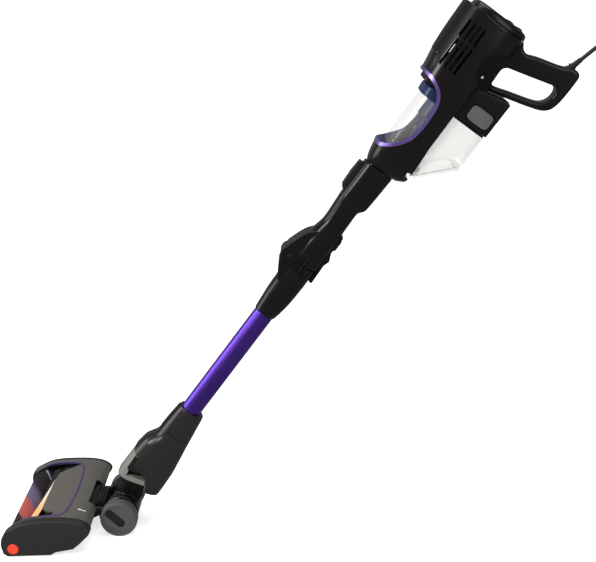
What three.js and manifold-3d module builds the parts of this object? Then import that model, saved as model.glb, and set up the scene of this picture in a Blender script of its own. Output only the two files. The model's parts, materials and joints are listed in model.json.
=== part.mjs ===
// Corded stick vacuum: hand unit with a D handle and clear dust cup, folding wand, powered floor head.
// Units are millimetres and +Z is up. Everything on the wand is drawn upright, x across, y to the rear
// and z along the wand, and the whole wand then leans back about its foot. The floor head and the cord
// are drawn on the floor, with y measured from the axle of the rear wheels.
import * as THREE from 'three';
import { mergeVertices } from 'three/addons/utils/BufferGeometryUtils.js';
import Module from 'manifold-3d';

const wasm = await Module();
wasm.setup();

// ---------------------------------------------------------------- driving dimensions

const gap = 0.3; // between pieces that rest on or in one another
const leanAngle = 38.17; // degrees that the wand leans back from upright
const originY = 321; // from the wheel axle back to the middle of the whole length

const wheelRadius = 35;
const wheelWidth = 20;
const wheelInner = 47.5; // x of a rear wheel's inner face
const axleRadius = 4;
const axleOffset = 5.8; // the axle lies this far behind the wand's centre line

const wall = 2.6; // moulded shells
const tubeRadius = 19;
const tubeWall = 1.2;
const tubeBottom = 205;
const tubeTop = 520;
const tubeFit = 0.25; // clearance round the tube in its sockets

const neckTop = 241;
const lowerShellBottom = 480;
const flexZ = 600; // the two halves of the wand part here
const flexY = -30; // the pin they fold on
const knuckleRadius = 16.5;
const knuckleHalf = 11.7; // half the width of the middle knuckle
const knuckleOuter = 23;
const flexPinRadius = 3.5;
const turnFit = 0.45; // clearance round what turns, on faceted bores
const upperShellTop = 816;
const spigotRadius = 19;
const spigotLength = 32;

const bayHalf = 46.4; // half the width of the bay that takes the dust cup
const bayFloor = 856;
const cheek = 2.2; // least thickness of the body beside the bay
const bodyHalf = 52; // half the width of the hand unit beside the cup
const motorHalf = 54; // half the width of the motor housing
const housingTop = 1133;
const capTop = 1145;
const cupTop = 966.5;
const plateTop = cupTop + 19.5; // top of the plate over the clear cup
const bayTop = plateTop + 1;
const foamTop = cupTop + 45.5;

const gripHalf = 17;
const gripBevel = 4.2;

const motorRadius = 28;
const motorY = -5;
const motorBottom = bayTop + 14;
const motorLength = 62;
const shaftRadius = 3;
const fanRadius = 26;
const fanBottom = 1071;
const bladeCount = 7;

const slotWidth = 4.4; // cooling slots in the sides of the motor housing
const slotPitch = 9.7;
const slotFirstY = -30.5;
const slotRows = [
  { from: housingTop - 108, to: housingTop - 58, count: 4, shift: 1.6 },
  { from: housingTop - 53, to: housingTop - 21, count: 4, shift: 0 },
];

const boardY = 30; // circuit board behind the impeller
const boardThickness = 1.6;

const cupHalf = 44; // half the width of the dust cup
const cupWall = 2.2;
const cupFront = -17;
const cupRear = 117.5;
const housingRear = 114.5; // the cup's black head ends here
const lidStart = [57, 838]; // the slanting lid, front and rear ends of its underside
const lidEnd = [118.5, 902];
const lidRim = 7;
const lidSkin = 2.6;
const sealThickness = 1;
const lidPinRadius = 1.5;
const latchY = [64, 106.5]; // the release button at each side of the cup's housing
const latchZ = [979, 1006.5];
const latchTravel = 3;

const headHalf = 130;
const plateThickness = 8.4;
const beltBay = 18; // width of the left end, which holds the belts
const sideGlass = 21; // from the head's ends to the window
const softRadius = 26.5; // soft front roller
const softAxis = [-175, 27.5];
const brushRadius = 19;
const bristleHeight = 4.5;
const bristleSteps = 4; // fins along the roller in each row
const bristleTurn = 0.28; // radians from one step of bristles to the next
const brushAxis = [-117.5, 25.5];
const chamberClearance = 2.2;
const motorPulleyAxis = [-74, 38];
const pulleyRadius = 7;
const brushPulleyRadius = 12;
const softPulleyRadius = 11;
const beltWidth = 6;
const motorLengthAcross = 68;
const rollerButtonAt = [-186, 18];
const rollerButtonRadius = 10.2;
const rollerButtonTravel = 2;
const soleWheelX = 72;
const soleAxis = [-84, 7];

const cordRadius = 3.5;
const coilMiddle = [0, 1013.5];
const coilRings = 5; // turns side by side
const coilLayers = 4;
const coilInner = 45.5;
const plugSize = [30, 24, 16];
const glandFoot = [163, 1142]; // the strain relief leaves the top of the grip here
const glandKnee = [167, 1148.2];
const glandTip = [172, 1168.6];
const glandRadius = 6.1;
const buttonSpans = [[25.5, 41], [45.5, 58.5]]; // the two rockers on the cap, front to back
const buttonHalf = 15;
const buttonTravel = 2.5;

// ---------------------------------------------------------------- materials

const finish = (color, roughness, metalness = 0, opacity = 1) =>
  new THREE.MeshStandardMaterial({ color, roughness, metalness, opacity, transparent: opacity < 1 });

const gloss = finish(0x121212, 0.22);
const satin = finish(0x1c1c1b, 0.42);
const matt = finish(0x262624, 0.6);
const headGrey = finish(0x4a4843, 0.5);
const lightGrey = finish(0x8c8a84, 0.45);
const buttonGrey = finish(0x6a6a66, 0.55);
const wheelGrey = finish(0x58585a, 0.6);
const purple = finish(0x5a34b8, 0.25, 0.8);
const navy = finish(0x1b2744, 0.4);
const clear = finish(0xf0f0ec, 0.08, 0, 0.35);
const steel = finish(0xb8babd, 0.3, 1);
const copper = finish(0xa8683a, 0.4, 0.9);
const foam = finish(0x3c3f48, 0.95);
const felt = finish(0xd8d6cc, 0.95);
const rubber = finish(0x151515, 0.75);
const orange = finish(0xf0553a, 0.35);
const plush = finish(0xb0604e, 0.95);
const green = finish(0x1f5a3c, 0.6);
const tan = finish(0xd9a05a, 0.4);

// ---------------------------------------------------------------- geometry helpers

/** A closed geometry as a solid that can be joined and cut. */
function solid(geometry) {
  const bare = geometry.clone();
  bare.deleteAttribute('normal');
  bare.deleteAttribute('uv');
  const merged = mergeVertices(bare, 1e-4);
  return new wasm.Manifold(new wasm.Mesh({
    numProp: 3,
    vertProperties: new Float32Array(merged.attributes.position.array),
    triVerts: new Uint32Array(merged.index.array),
  }));
}

/** A solid back as a geometry. */
function geometryOf(body) {
  const { vertProperties, triVerts } = body.getMesh();
  const geometry = new THREE.BufferGeometry();
  geometry.setAttribute('position', new THREE.BufferAttribute(new Float32Array(vertProperties), 3));
  geometry.setIndex(new THREE.BufferAttribute(new Uint32Array(triVerts), 1));
  return geometry;
}

/** A named mesh of a solid. */
function piece(name, body, material) {
  const mesh = new THREE.Mesh(geometryOf(body), material);
  mesh.name = name;
  return mesh;
}

const join = (...bodies) => bodies.reduce((sum, body) => sum.add(body));
const cut = (body, ...tools) => tools.reduce((rest, tool) => rest.subtract(tool), body);

/** A box between two values on each axis. */
function box([x0, x1], [y0, y1], [z0, z1]) {
  const geometry = new THREE.BoxGeometry(x1 - x0, y1 - y0, z1 - z0);
  return solid(geometry.translate((x0 + x1) / 2, (y0 + y1) / 2, (z0 + z1) / 2));
}

/** A round bar or cone between two points. */
function rod(from, to, radius, sides = 12, endRadius = radius) {
  const a = new THREE.Vector3(...from);
  const b = new THREE.Vector3(...to);
  const along = b.clone().sub(a);
  const geometry = new THREE.CylinderGeometry(endRadius, radius, along.length(), sides);
  const turn = new THREE.Quaternion().setFromUnitVectors(new THREE.Vector3(0, 1, 0), along.normalize());
  return solid(geometry.applyQuaternion(turn).translate(...a.add(b).multiplyScalar(0.5)));
}

/** A round bar across the machine, at [y, z]. */
const crossbar = ([x0, x1], [y, z], radius, sides = 12) => rod([x0, y, z], [x1, y, z], radius, sides);

/** Points as a flat shape that runs anticlockwise. */
function flatShape(outline, holes = []) {
  const points = outline.map(([a, b]) => new THREE.Vector2(a, b));
  if (THREE.ShapeUtils.isClockWise(points)) points.reverse();
  const shape = new THREE.Shape(points);
  shape.holes = holes.map((hole) => new THREE.Path(hole.map(([a, b]) => new THREE.Vector2(a, b))));
  return shape;
}

/** An outline in y and z, run across the machine from x0 to x1, with its side edges rounded. */
function slab(outline, [x0, x1], { bevel = 0, holes = [] } = {}) {
  const shape = flatShape(outline, holes);
  const geometry = new THREE.ExtrudeGeometry(shape, {
    depth: x1 - x0 - 2 * bevel,
    bevelEnabled: bevel > 0,
    bevelThickness: bevel,
    bevelSize: bevel,
    bevelOffset: -bevel,
    bevelSegments: 1,
    curveSegments: 6,
  });
  const across = new THREE.Matrix4().makeBasis(
    new THREE.Vector3(0, 1, 0), new THREE.Vector3(0, 0, 1), new THREE.Vector3(1, 0, 0));
  return solid(geometry.applyMatrix4(across).translate(x0 + bevel, 0, 0));
}

/** A smooth outline through a few [y, z] points. */
function smooth(points, count, closed = true) {
  const curve = new THREE.CatmullRomCurve3(
    points.map(([y, z]) => new THREE.Vector3(y, z, 0)), closed, 'centripetal');
  return curve.getPoints(count).slice(0, closed ? count : count + 1).map(({ x, y }) => [x, y]);
}

/** One rounded ring of a loft: a superellipse from front to rear, power 2 round and more for squarer. */
function ring({ z, front, rear, half, power = 3 }, sides) {
  const bend = (value) => Math.sign(value) * Math.abs(value) ** (2 / power);
  return Array.from({ length: sides }, (_, i) => {
    const angle = ((i + 0.5) * 2 * Math.PI) / sides;
    const middle = (front + rear) / 2;
    return [half * bend(Math.cos(angle)), middle + ((rear - front) / 2) * bend(Math.sin(angle)), z];
  });
}

/** A solid skinned over rings from the lowest to the highest. */
function loft(rings, sides = 16) {
  const points = rings.flatMap((section) => ring(section, sides));
  const middle = ({ z, front, rear }) => [0, (front + rear) / 2, z];
  const bottom = points.push(middle(rings[0])) - 1;
  const top = points.push(middle(rings.at(-1))) - 1;
  const index = [];
  const last = (rings.length - 1) * sides;
  for (let i = 0; i < sides; i += 1) {
    const next = (i + 1) % sides;
    for (let level = 0; level < last; level += sides) {
      index.push(level + i, level + next, level + sides + next);
      index.push(level + i, level + sides + next, level + sides + i);
    }
    index.push(bottom, next, i, top, last + i, last + next);
  }
  const geometry = new THREE.BufferGeometry();
  geometry.setAttribute('position', new THREE.Float32BufferAttribute(points.flat(), 3));
  geometry.setIndex(index);
  return solid(geometry);
}

/** The same rings, drawn in by an offset all round. */
const inset = (rings, offset) => rings.map((section) => ({
  ...section, front: section.front + offset, rear: section.rear - offset, half: section.half - offset,
}));

/** A profile of [radius, height] points turned about the upright line through [x, y]. */
function turned(profile, [x, y] = [0, 0], sides = 16) {
  const geometry = new THREE.LatheGeometry(profile.map(([r, h]) => new THREE.Vector2(r, h)), sides);
  return solid(geometry.rotateX(Math.PI / 2).translate(x, y, 0));
}

/** A profile of [radius, x] points turned about the line across the machine at [y, z]. */
function turnedAcross(profile, [y, z], sides = 16) {
  const geometry = new THREE.LatheGeometry(profile.map(([r, x]) => new THREE.Vector2(r, x)), sides);
  return solid(geometry.rotateZ(-Math.PI / 2).translate(0, y, z));
}

/** A solid moved by a matrix. */
const moved = (body, matrix) => solid(geometryOf(body).applyMatrix4(matrix));

/** Copies of a solid spaced round the line across the machine at [y, z]. */
function aroundAcross(body, [y, z], count) {
  return Array.from({ length: count }, (_, i) => moved(body, new THREE.Matrix4()
    .makeTranslation(0, y, z)
    .multiply(new THREE.Matrix4().makeRotationX((2 * Math.PI * i) / count))
    .multiply(new THREE.Matrix4().makeTranslation(0, -y, -z))));
}

/** The mirror image of a solid on the other side of the machine. */
function mirrored(body) {
  const geometry = geometryOf(body).scale(-1, 1, 1);
  const index = geometry.index.array;
  for (let i = 0; i < index.length; i += 3) [index[i], index[i + 1]] = [index[i + 1], index[i]];
  return solid(geometry);
}

const bothSides = (body) => body.add(mirrored(body));
const everywhere = 400; // a cutting box that reaches past the part

// ---------------------------------------------------------------- hand unit

const bodyRings = [
  { z: 818, front: -20, rear: 45, half: 28, power: 2.6 },
  { z: 824, front: -22.5, rear: 54, half: 37, power: 2.7 },
  { z: 836, front: -25.5, rear: 71, half: 44, power: 3 },
  { z: 852, front: -28, rear: 80, half: 48.5, power: 3.3 },
  { z: 880, front: -31, rear: 90, half: bodyHalf, power: 3.6 },
  { z: 975, front: -37, rear: 90, half: bodyHalf, power: 3.6 },
  { z: 1003, front: -39, rear: 84, half: motorHalf, power: 3.2 },
  { z: 1040, front: -45, rear: 72, half: motorHalf, power: 3 },
  { z: 1077, front: -48, rear: 70, half: motorHalf, power: 3 },
  { z: housingTop, front: -50, rear: 70, half: 51.5, power: 3 },
];
const capRings = [
  { z: housingTop + gap, front: -37, rear: 71, half: 51.5, power: 3 },
  { z: capTop - 4, front: -35, rear: 69, half: 50, power: 3 },
  { z: capTop, front: -30, rear: 62, half: 44, power: 3 },
];
// Side view of the line behind which the dust cup comes away.
const bayLine = [[55, 790], [52.6, 838], [50.4, 864], [47.5, 900], [46.4, 985], [46, 1027.5], [118, 1044], [240, 1072],
  [240, 790]];
// Side view of the window in front of the dust cup, along its edge.
const windowEdge = smooth([[-48, 1003.5], [-22, 1001], [4, 986.5], [14.5, 969], [18, 944], [18, 916], [13, 892],
  [-2, 871], [-24, 853], [-48, 848]], 13, false);
const bodySides = 18; // facets round the body, its trim and its filter cover
const trimWidth = 6.2;
const trimProud = 0.9;
const coverZ = [1036, housingTop - 3]; // the filter cover in the front of the motor housing
const coverY = -31;
const scoop = { at: [62, 1064], radius: 34, from: 21 }; // finger recess beside the handle
const handleCrest = [[46, 1127], [72, 1140]];
const handleOutline = [[40, 1030], ...handleCrest, [75, 1129], [81, 1123], [90, 1121.5], [109, 1128.5],
  [154, 1141.5], [166, 1148], [182, 1149.5], [186, 1146], [185.5, 1086], [182, 1072], [173, 1064], [118, 1045]];
const handleLoop = [[72, 1079], [77, 1084], [87, 1087], [108, 1092.5], [148, 1103.5], [162, 1107], [167, 1105.5],
  [170.5, 1094], [168, 1082], [161, 1073], [150, 1067.5], [106, 1054.5], [79, 1046.5], [72, 1047.5], [69.5, 1057]];
const screwPosts = [[100, 1107], [176, 1128], [165, 1062]];

/** The point that lies beyond the second of two points by so many times their distance. */
const beyond = (from, to, times) => [to[0] + (to[0] - from[0]) * times, to[1] + (to[1] - from[1]) * times];

/** A point line moved sideways by a distance, to its left as it runs. */
function beside(points, distance) {
  return points.map(([y, z], i) => {
    const [y0, z0] = points[Math.max(i - 1, 0)];
    const [y1, z1] = points[Math.min(i + 1, points.length - 1)];
    const length = Math.hypot(y1 - y0, z1 - z0);
    return [y - ((z1 - z0) / length) * distance, z + ((y1 - y0) / length) * distance];
  });
}

const windowCut = () => slab([...windowEdge, [-90, 848], [-90, 1003.5]], [-everywhere, everywhere]);
const scoopCut = (extra) => bothSides(crossbar([scoop.from - extra, everywhere], scoop.at, scoop.radius + extra, 16));

/** The handle, a rounded D with a loop for the fingers. */
function handle() {
  return slab(handleOutline, [-gripHalf, gripHalf], { bevel: gripBevel, holes: [handleLoop] });
}

/** Cooling slots through one side of the motor housing. */
function coolingSlots() {
  return slotRows.flatMap(({ from, to, count, shift }) =>
    Array.from({ length: count }, (_, i) => {
      const y = slotFirstY + shift + i * slotPitch;
      const slope = 3;
      return slab([[y, from], [y + slotWidth, from - slope], [y + slotWidth, to - slope], [y, to]],
        [motorHalf - 14, everywhere]);
    }));
}

/** The moulded body in one piece, before it parts down the middle. */
function wholeBody() {
  const inner = inset(bodyRings, wall);
  const cavity = cut(
    loft([{ ...inner[6], z: 996 }, ...inner.slice(7, 9), { ...inner[9], z: capTop + 20 }]),
    scoopCut(wall), slab([[45 - wall, 900], [45 - wall, 1030], [90, 1041], [90, 900]], [-everywhere, everywhere]));
  const bayFront = box([-bayHalf, bayHalf], [-everywhere, 20], [bayFloor, bayTop])
    .intersect(loft([...inset(bodyRings, cheek).slice(0, 5), { ...inset(bodyRings, cheek)[5], z: bayTop + 10 }]));
  const bay = join(bayFront, box([-bayHalf, bayHalf], [19, everywhere], [bayFloor, bayTop]),
    box([-38, 38], [-31, 38], [900, 1004]));
  const shell = cut(loft(bodyRings, bodySides), slab(bayLine, [-everywhere, everywhere]), scoopCut(0));
  const inlet = rod([0, 0, 800], [0, 0, upperShellTop + spigotLength + 1], spigotRadius + tubeFit, 16);
  const airway = rod([0, 0, 840], [0, 6, 870], 16, 20);
  const cover = box([-everywhere, everywhere], [-everywhere, coverY + gap], coverZ.map((z, i) => z + (i ? gap : -gap)));
  return cut(join(shell, handle()), cavity, bay, windowCut(), inlet, airway, cover,
    ...coolingSlots().flatMap((slot) => [slot, mirrored(slot)]),
    box([-bayHalf, bayHalf], [44, everywhere], [lidStart[1] - 2, 1000]),
    rod([0, ...beyond(glandFoot, glandKnee, -1.2)], [0, ...beyond(glandFoot, glandKnee, 2.5)], glandRadius + gap, 14));
}

function bodyHalves() {
  const whole = wholeBody();
  const holes = join(...screwPosts.map((at) => crossbar([-everywhere, everywhere], at, 1.8, 10)));
  const half = (side) => cut(whole, holes, side > 0
    ? box([-everywhere, gap / 2], [-everywhere, everywhere], [0, 2 * everywhere + 600])
    : box([-gap / 2, everywhere], [-everywhere, everywhere], [0, 2 * everywhere + 600]));
  return [piece('body_left', half(1), gloss), piece('body_right', half(-1), gloss)];
}

/** The metallic trim that follows the window's edge over the curve of the body. */
function windowTrim() {
  const outer = beside(windowEdge, -gap);
  const inner = beside(windowEdge, -trimWidth);
  const band = slab([...outer, ...inner.reverse()], [-everywhere, everywhere]);
  const proud = loft(inset(bodyRings, -trimProud), bodySides);
  const hollow = box([-bayHalf - gap, bayHalf + gap], [-34, everywhere], [872, bayTop])
    .add(loft(inset(bodyRings, 3.2), 16));
  return piece('window_trim', cut(proud.intersect(band), hollow), purple);
}

/** The cover over the exhaust filter, hinged at its lower edge. */
function filterCover() {
  const front = box([-everywhere, everywhere], [-everywhere, coverY], coverZ);
  const lip = loft(inset(bodyRings, wall), bodySides);
  const ribs = [-1, 0, 1].map((i) => box([i * 20 - 1, i * 20 + 1], [-44, -40.6], [coverZ[0] + 8, coverZ[1] - 8]));
  const shell = loft(inset(bodyRings, -0.6), bodySides).intersect(front);
  return piece('filter_cover', cut(shell, cut(lip, ...ribs)), satin);
}

function topCap() {
  const pockets = buttonSpans.map((span) =>
    box([-buttonHalf - gap, buttonHalf + gap], [span[0] - gap, span[1] + gap], [capTop - 7, capTop + 9]));
  const rim = loft(capRings);
  const groove = box([-everywhere, everywhere], [14, 15.5], [capTop - 1, capTop + 9]);
  const crest = handleCrest.map(([y, z]) => [y, z + 2 * gap]);
  const seat = slab([[46, 1100], ...crest, [90, crest[1][1]], [90, 1100]], [-gripHalf - gap, gripHalf + gap]);
  return piece('top_cap', cut(rim, ...pockets, groove, seat), gloss);
}

function capButton(name, span) {
  const z0 = capTop - 7 + buttonTravel + gap;
  const [y0, y1] = span;
  const outline = [[y0, z0], [y0, capTop + 1], [y0 + 2, capTop + 2.6], [y1 - 2, capTop + 2.6], [y1, capTop + 1], [y1, z0]];
  return piece(name, slab(outline, [-buttonHalf, buttonHalf], { bevel: 1 }), matt);
}

/** The plate that carries the motor over the dust cup, with the intake in its middle. */
function motorMount() {
  const plate = loft([{ ...inset(bodyRings, wall + gap)[6], z: bayTop + gap, front: -33, rear: 42, half: 45 },
    { ...inset(bodyRings, wall + gap)[6], z: motorBottom - gap, front: -33, rear: 42, half: 48 }]);
  const foot = box([-36, 36], [-30, 37], [bayTop - 1, motorBottom]);
  return piece('motor_mount', cut(plate.intersect(foot), rod([0, motorY, 900], [0, motorY, 1100], 15)), matt);
}

/** Motor can with its shaft's bearing tower and cooling fins. */
function motorStator() {
  const can = turned([[shaftRadius + 0.4, motorBottom], [motorRadius, motorBottom], [motorRadius, motorBottom + 40],
    [motorRadius - 5, motorBottom + 46], [12, motorBottom + 46], [10, motorBottom + motorLength],
    [shaftRadius + 0.4, motorBottom + motorLength], [shaftRadius + 0.4, motorBottom]], [0, motorY], 14);
  const windows = Array.from({ length: 4 }, (_, i) => {
    const angle = (i * Math.PI) / 2;
    return rod([0, motorY, motorBottom + 24], [60 * Math.cos(angle), motorY + 60 * Math.sin(angle), motorBottom + 24], 6, 8);
  });
  const core = rod([0, motorY, motorBottom + 4], [0, motorY, motorBottom + 44], motorRadius - 4, 20);
  return piece('motor_stator', cut(can, ...windows.map((tool) => tool.subtract(core))), steel);
}

/** Fan with swept blades between two discs, on the motor's shaft. */
function impeller() {
  const top = fanBottom + 12;
  const hub = turned([[0, motorBottom - 8], [shaftRadius, motorBottom - 8], [shaftRadius, fanBottom],
    [fanRadius, fanBottom], [fanRadius, fanBottom + 1.6], [9, fanBottom + 3], [6, top + 2], [0, top + 2]], [0, motorY], 12);
  const shroud = turned([[14, top + 1.5], [fanRadius, top - 1.5], [fanRadius, top], [14, top + 3], [14, top + 1.5]],
    [0, motorY], 12);
  const blades = Array.from({ length: bladeCount }, (_, i) => {
    const turn = (2 * Math.PI * i) / bladeCount;
    const line = [5, 15, fanRadius - 0.6].map((r, k) => {
      const angle = turn - 0.45 * k;
      return [r * Math.cos(angle), motorY + r * Math.sin(angle)];
    });
    const shape = new THREE.Shape([...line, ...beside(line, 1.3).reverse()].map(([x, y]) => new THREE.Vector2(x, y)));
    const blade = new THREE.ExtrudeGeometry(shape, { depth: 11.4, bevelEnabled: false });
    return solid(blade.translate(0, 0, fanBottom + 0.8));
  });
  return piece('impeller', join(hub, shroud, ...blades), matt);
}

function exhaustFilter() {
  const pleats = Array.from({ length: 12 }, (_, i) => {
    const z = coverZ[0] + 7 + i * 7;
    return slab([[-37.5, z], [-39.8, z + 1.8], [-37.5, z + 3.6]], [-23, 23]);
  });
  const frame = box([-26, 26], [-37.6, -34], [coverZ[0] + 2, coverZ[1] - 2]);
  return piece('exhaust_filter', join(frame, ...pleats), felt);
}

function circuitBoard() {
  const board = box([-24, 24], [boardY, boardY + boardThickness], [housingTop - 32, housingTop]);
  const parts = [[-14, 6, 13, 9], [2, 10, 27, 7], [16, 5, 17, 11]].map(([x, size, below, height]) =>
    box([x - size / 2, x + size / 2], [boardY + 1.5, boardY + 1.5 + height],
      [housingTop - below - size / 2, housingTop - below + size / 2]));
  return piece('circuit_board', join(board, ...parts), green);
}

// ---------------------------------------------------------------- dust cup

const lidRun = Math.hypot(lidEnd[0] - lidStart[0], lidEnd[1] - lidStart[1]);
const lidAlong = [(lidEnd[0] - lidStart[0]) / lidRun, (lidEnd[1] - lidStart[1]) / lidRun];
/** A point of the lid's side view: so far along its underside from the front, and so far up into the cup. */
const onLid = (along, up) => [lidStart[0] + along * lidAlong[0] - up * lidAlong[1],
  lidStart[1] + along * lidAlong[1] + up * lidAlong[0]];
const lidPin = onLid(lidRun - 3.6, 4.2);
const lidKnuckle = 3.4;
const knuckleSpan = 30; // half the width of the lid's knuckle
const cupPlan = (offset) => ({ front: cupFront + offset, rear: cupRear - offset, half: cupHalf - offset, power: 6 });
const planColumn = (offset) => loft([{ ...cupPlan(offset), z: 780 }, { ...cupPlan(offset), z: 1100 }], 16);

/** The cup's side view, drawn in by an offset, reaching down to a height over the lid's underside. */
function cupOutline(offset, over, top) {
  const low = onLid(0, over);
  const high = onLid(lidRun, over);
  const lowY = lidStart[0] + offset;
  const highY = lidEnd[0] - offset;
  const height = (y) => low[1] + ((y - low[0]) * (high[1] - low[1])) / (high[0] - low[0]);
  return [[cupFront + offset, top], [cupFront + offset, 864 + offset], [lowY, 864 + offset], [lowY, height(lowY)],
    [highY, height(highY)], [cupRear - 2.5 - offset, top]];
}

function dustCup() {
  const over = lidRim + sealThickness + 2 * gap;
  const outer = slab(cupOutline(0, over, cupTop), [-cupHalf, cupHalf]).intersect(planColumn(0));
  const inner = slab(cupOutline(cupWall, over - 12, cupTop + 20), [-everywhere, everywhere]).intersect(planColumn(cupWall));
  const ear = crossbar([knuckleSpan + gap, cupHalf - 3], lidPin, lidKnuckle, 16)
    .add(slab([onLid(lidRun - 7, 4.2), onLid(lidRun - 7, 13), onLid(lidRun - 1, 13), onLid(lidRun - 1, 4.2)],
      [knuckleSpan + gap, cupHalf - 1]));
  const swing = crossbar([-knuckleSpan - gap, knuckleSpan + gap], lidPin, lidKnuckle + 2 * gap, 16);
  const pinHole = crossbar([-cupHalf + 4, cupHalf - 4], lidPin, lidPinRadius + 0.1, 12);
  return piece('dust_cup', cut(join(cut(outer, inner), bothSides(ear.intersect(planColumn(0)))), swing, pinHole), clear);
}

function cupLid() {
  const plate = slab([onLid(0, 0), onLid(0, lidRim), onLid(lidRun - 3.6, lidRim), onLid(lidRun - 3.6, 0)],
    [-everywhere, everywhere]);
  const tray = slab([onLid(lidRim, lidSkin), onLid(lidRim, 20), onLid(lidRun - 10, 20), onLid(lidRun - 10, lidSkin)],
    [-cupHalf + 4, cupHalf - 4]);
  const knuckle = crossbar([-knuckleSpan, knuckleSpan], lidPin, lidKnuckle, 16);
  const clearEars = bothSides(crossbar([knuckleSpan, everywhere], lidPin, lidKnuckle + 2 * gap, 16)
    .add(slab([onLid(lidRun - 8, 3), onLid(lidRun - 8, 20), onLid(lidRun + 9, 20), onLid(lidRun + 9, 3)],
      [knuckleSpan, everywhere])));
  const catchRib = box([-7, 7], [lidStart[0] - 1, lidStart[0] + 2.4], [lidStart[1] + 2, lidStart[1] + 8]);
  const body = join(cut(plate, tray, clearEars).intersect(planColumn(0.2)), knuckle, catchRib.intersect(plate));
  return piece('cup_lid', cut(body, crossbar([-everywhere, everywhere], lidPin, lidPinRadius + 0.1, 12)), clear);
}

function lidSeal() {
  const layer = (from, to, start, end) => slab([onLid(start, from), onLid(start, to), onLid(end, to), onLid(end, from)],
    [-everywhere, everywhere]);
  const bottom = lidRim + gap;
  const band = layer(bottom, bottom + sealThickness, 1.5, lidRun - 9).intersect(planColumn(1));
  const hole = layer(0, 20, 6, lidRun - 13).intersect(planColumn(5));
  return piece('lid_seal', cut(band, hole), rubber);
}

/** The black head of the cup, which holds the foam filter and the two release buttons. */
function cupHousing() {
  const foot = cupTop + 4.5;
  const line = [[46.8, foot], [46.8, 1026.8], [housingRear - 5.5, 1041], [housingRear, 1037], [housingRear, foot]];
  const inside = [[49.4, 960], [49.4, foamTop + 4], [housingRear - wall, foamTop + 4], [housingRear - wall, 960]];
  const outer = slab(line, [-46, 46], { bevel: 2.5 });
  const pockets = bothSides(box([36.5, everywhere], latchY.map((y, i) => y + (i ? gap : -gap)),
    latchZ.map((z, i) => z + (i ? gap : -gap))));
  const core = box([-35, 35], [40, 130], [900, 1030]);
  return piece('cup_housing', cut(outer, slab(inside, [-43.4, 43.4]).intersect(core), pockets), gloss);
}

function latchButton(name, side) {
  const pad = slab([[latchY[0], 987], [66, latchZ[0]], [104, latchZ[0]], [latchY[1], 984], [latchY[1], 1000],
    [103, latchZ[1]], [68, latchZ[1]], [latchY[0], 1001]], [36.8 + latchTravel, 47.6], { bevel: 1.2 });
  return piece(name, side > 0 ? pad : mirrored(pad), buttonGrey);
}

/** The dark plate across the top of the clear cup, with the cone that turns the air down. */
function cupSeparator() {
  const plate = loft([{ z: cupTop + gap, front: -19.5, rear: 45, half: cupHalf + 1, power: 5 },
    { z: plateTop - 4, front: -20.5, rear: 45, half: cupHalf + 1, power: 5 },
    { z: plateTop, front: -14, rear: 43, half: cupHalf - 3, power: 5 }], 20);
  const tail = box([-cupHalf + 3, cupHalf - 3], [40, cupRear - 4], [cupTop + gap, cupTop + 3.5])
    .intersect(planColumn(2));
  const collar = rod([0, 34, 940], [0, 34, cupTop + 4], 33, 16);
  const bore = rod([0, 34, 900], [0, 34, plateTop + 10], 24, 16);
  return piece('cup_separator', cut(join(plate, tail, collar), bore), navy);
}

/** The slotted shroud that hangs in the middle of the cup. */
function meshShroud() {
  const skirt = turned([[26.6, 880], [28, 880], [31, 894], [31, 939.7], [29.2, 939.7], [29.2, 896], [26.6, 882], [26.6, 880]],
    [0, 34], 14);
  const slots = Array.from({ length: 8 }, (_, i) => {
    const angle = ((i + 0.5) * Math.PI) / 4;
    return rod([26 * Math.cos(angle), 34 + 26 * Math.sin(angle), 0], [34 * Math.cos(angle), 34 + 34 * Math.sin(angle), 0], 2.2, 4);
  });
  const tall = slots.map((slot) => moved(slot, new THREE.Matrix4().makeScale(1, 1, 8).premultiply(
    new THREE.Matrix4().makeTranslation(0, 0, 917))));
  return piece('mesh_shroud', cut(skirt, ...tall), steel);
}

function foamFilter() {
  return piece('foam_filter', box([-33, 33], [51, housingRear - wall - 2], [cupTop + 4, foamTop]), foam);
}

// ---------------------------------------------------------------- wand

const upperRings = [
  { z: flexZ + gap, front: -25, rear: 27.5, half: 27, power: 2.8 },
  { z: 640, front: -25.5, rear: 28, half: 28, power: 2.8 },
  { z: 658, front: -24, rear: 27.5, half: 27, power: 2.8 },
  { z: 690, front: -18.5, rear: 26, half: 22.5, power: 2.8 },
  { z: 729, front: -20.5, rear: 25, half: 22.5, power: 3 },
  { z: 744, front: -21.5, rear: 34, half: 24, power: 3.2 },
  { z: upperShellTop, front: -22, rear: 37, half: 26, power: 3.2 },
];
const lowerRings = [
  { z: lowerShellBottom, front: -20.8, rear: 20.8, half: 20.8, power: 2 },
  { z: 500, front: -22.3, rear: 24.5, half: 22.5, power: 2.3 },
  { z: 527, front: -24.5, rear: 27, half: 25, power: 2.6 },
  { z: 562, front: -25, rear: 27.8, half: 26.5, power: 2.8 },
  { z: flexZ - gap, front: -25, rear: 27.5, half: 27, power: 2.8 },
];
const flexPin = [flexY, flexZ];
const hoodUpper = [[-18, 662], [-26, 656], [-38, 630], [-42, 617], [flexY, flexZ + 6], [-18, flexZ + 6]];
const hoodLower = [[-18, 552], [-25, 557], [-35, 571], [-42, 583], [flexY, flexZ - 6], [-18, flexZ - 6]];
const hoseAt = [0, 6];
const hoseRadius = 15.2;
const hoseSpan = [556 + gap, 662 - gap];
const rearCatch = [[24, 603], [28.4, 603], [28.4, 578], [34.6, 578.5], [33, 618], [36.6, 630], [30, 645], [31.5, 679],
  [24, 682]];
const flexButtonZ = [650, 674];
const releaseOutline = [[-19.4, 752], [-25, 752], [-29.3, 758], [-30.6, 785], [-29.4, 810], [-19.4, 810]];
const releaseHalf = 9;
const pressTravel = 2;
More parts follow.
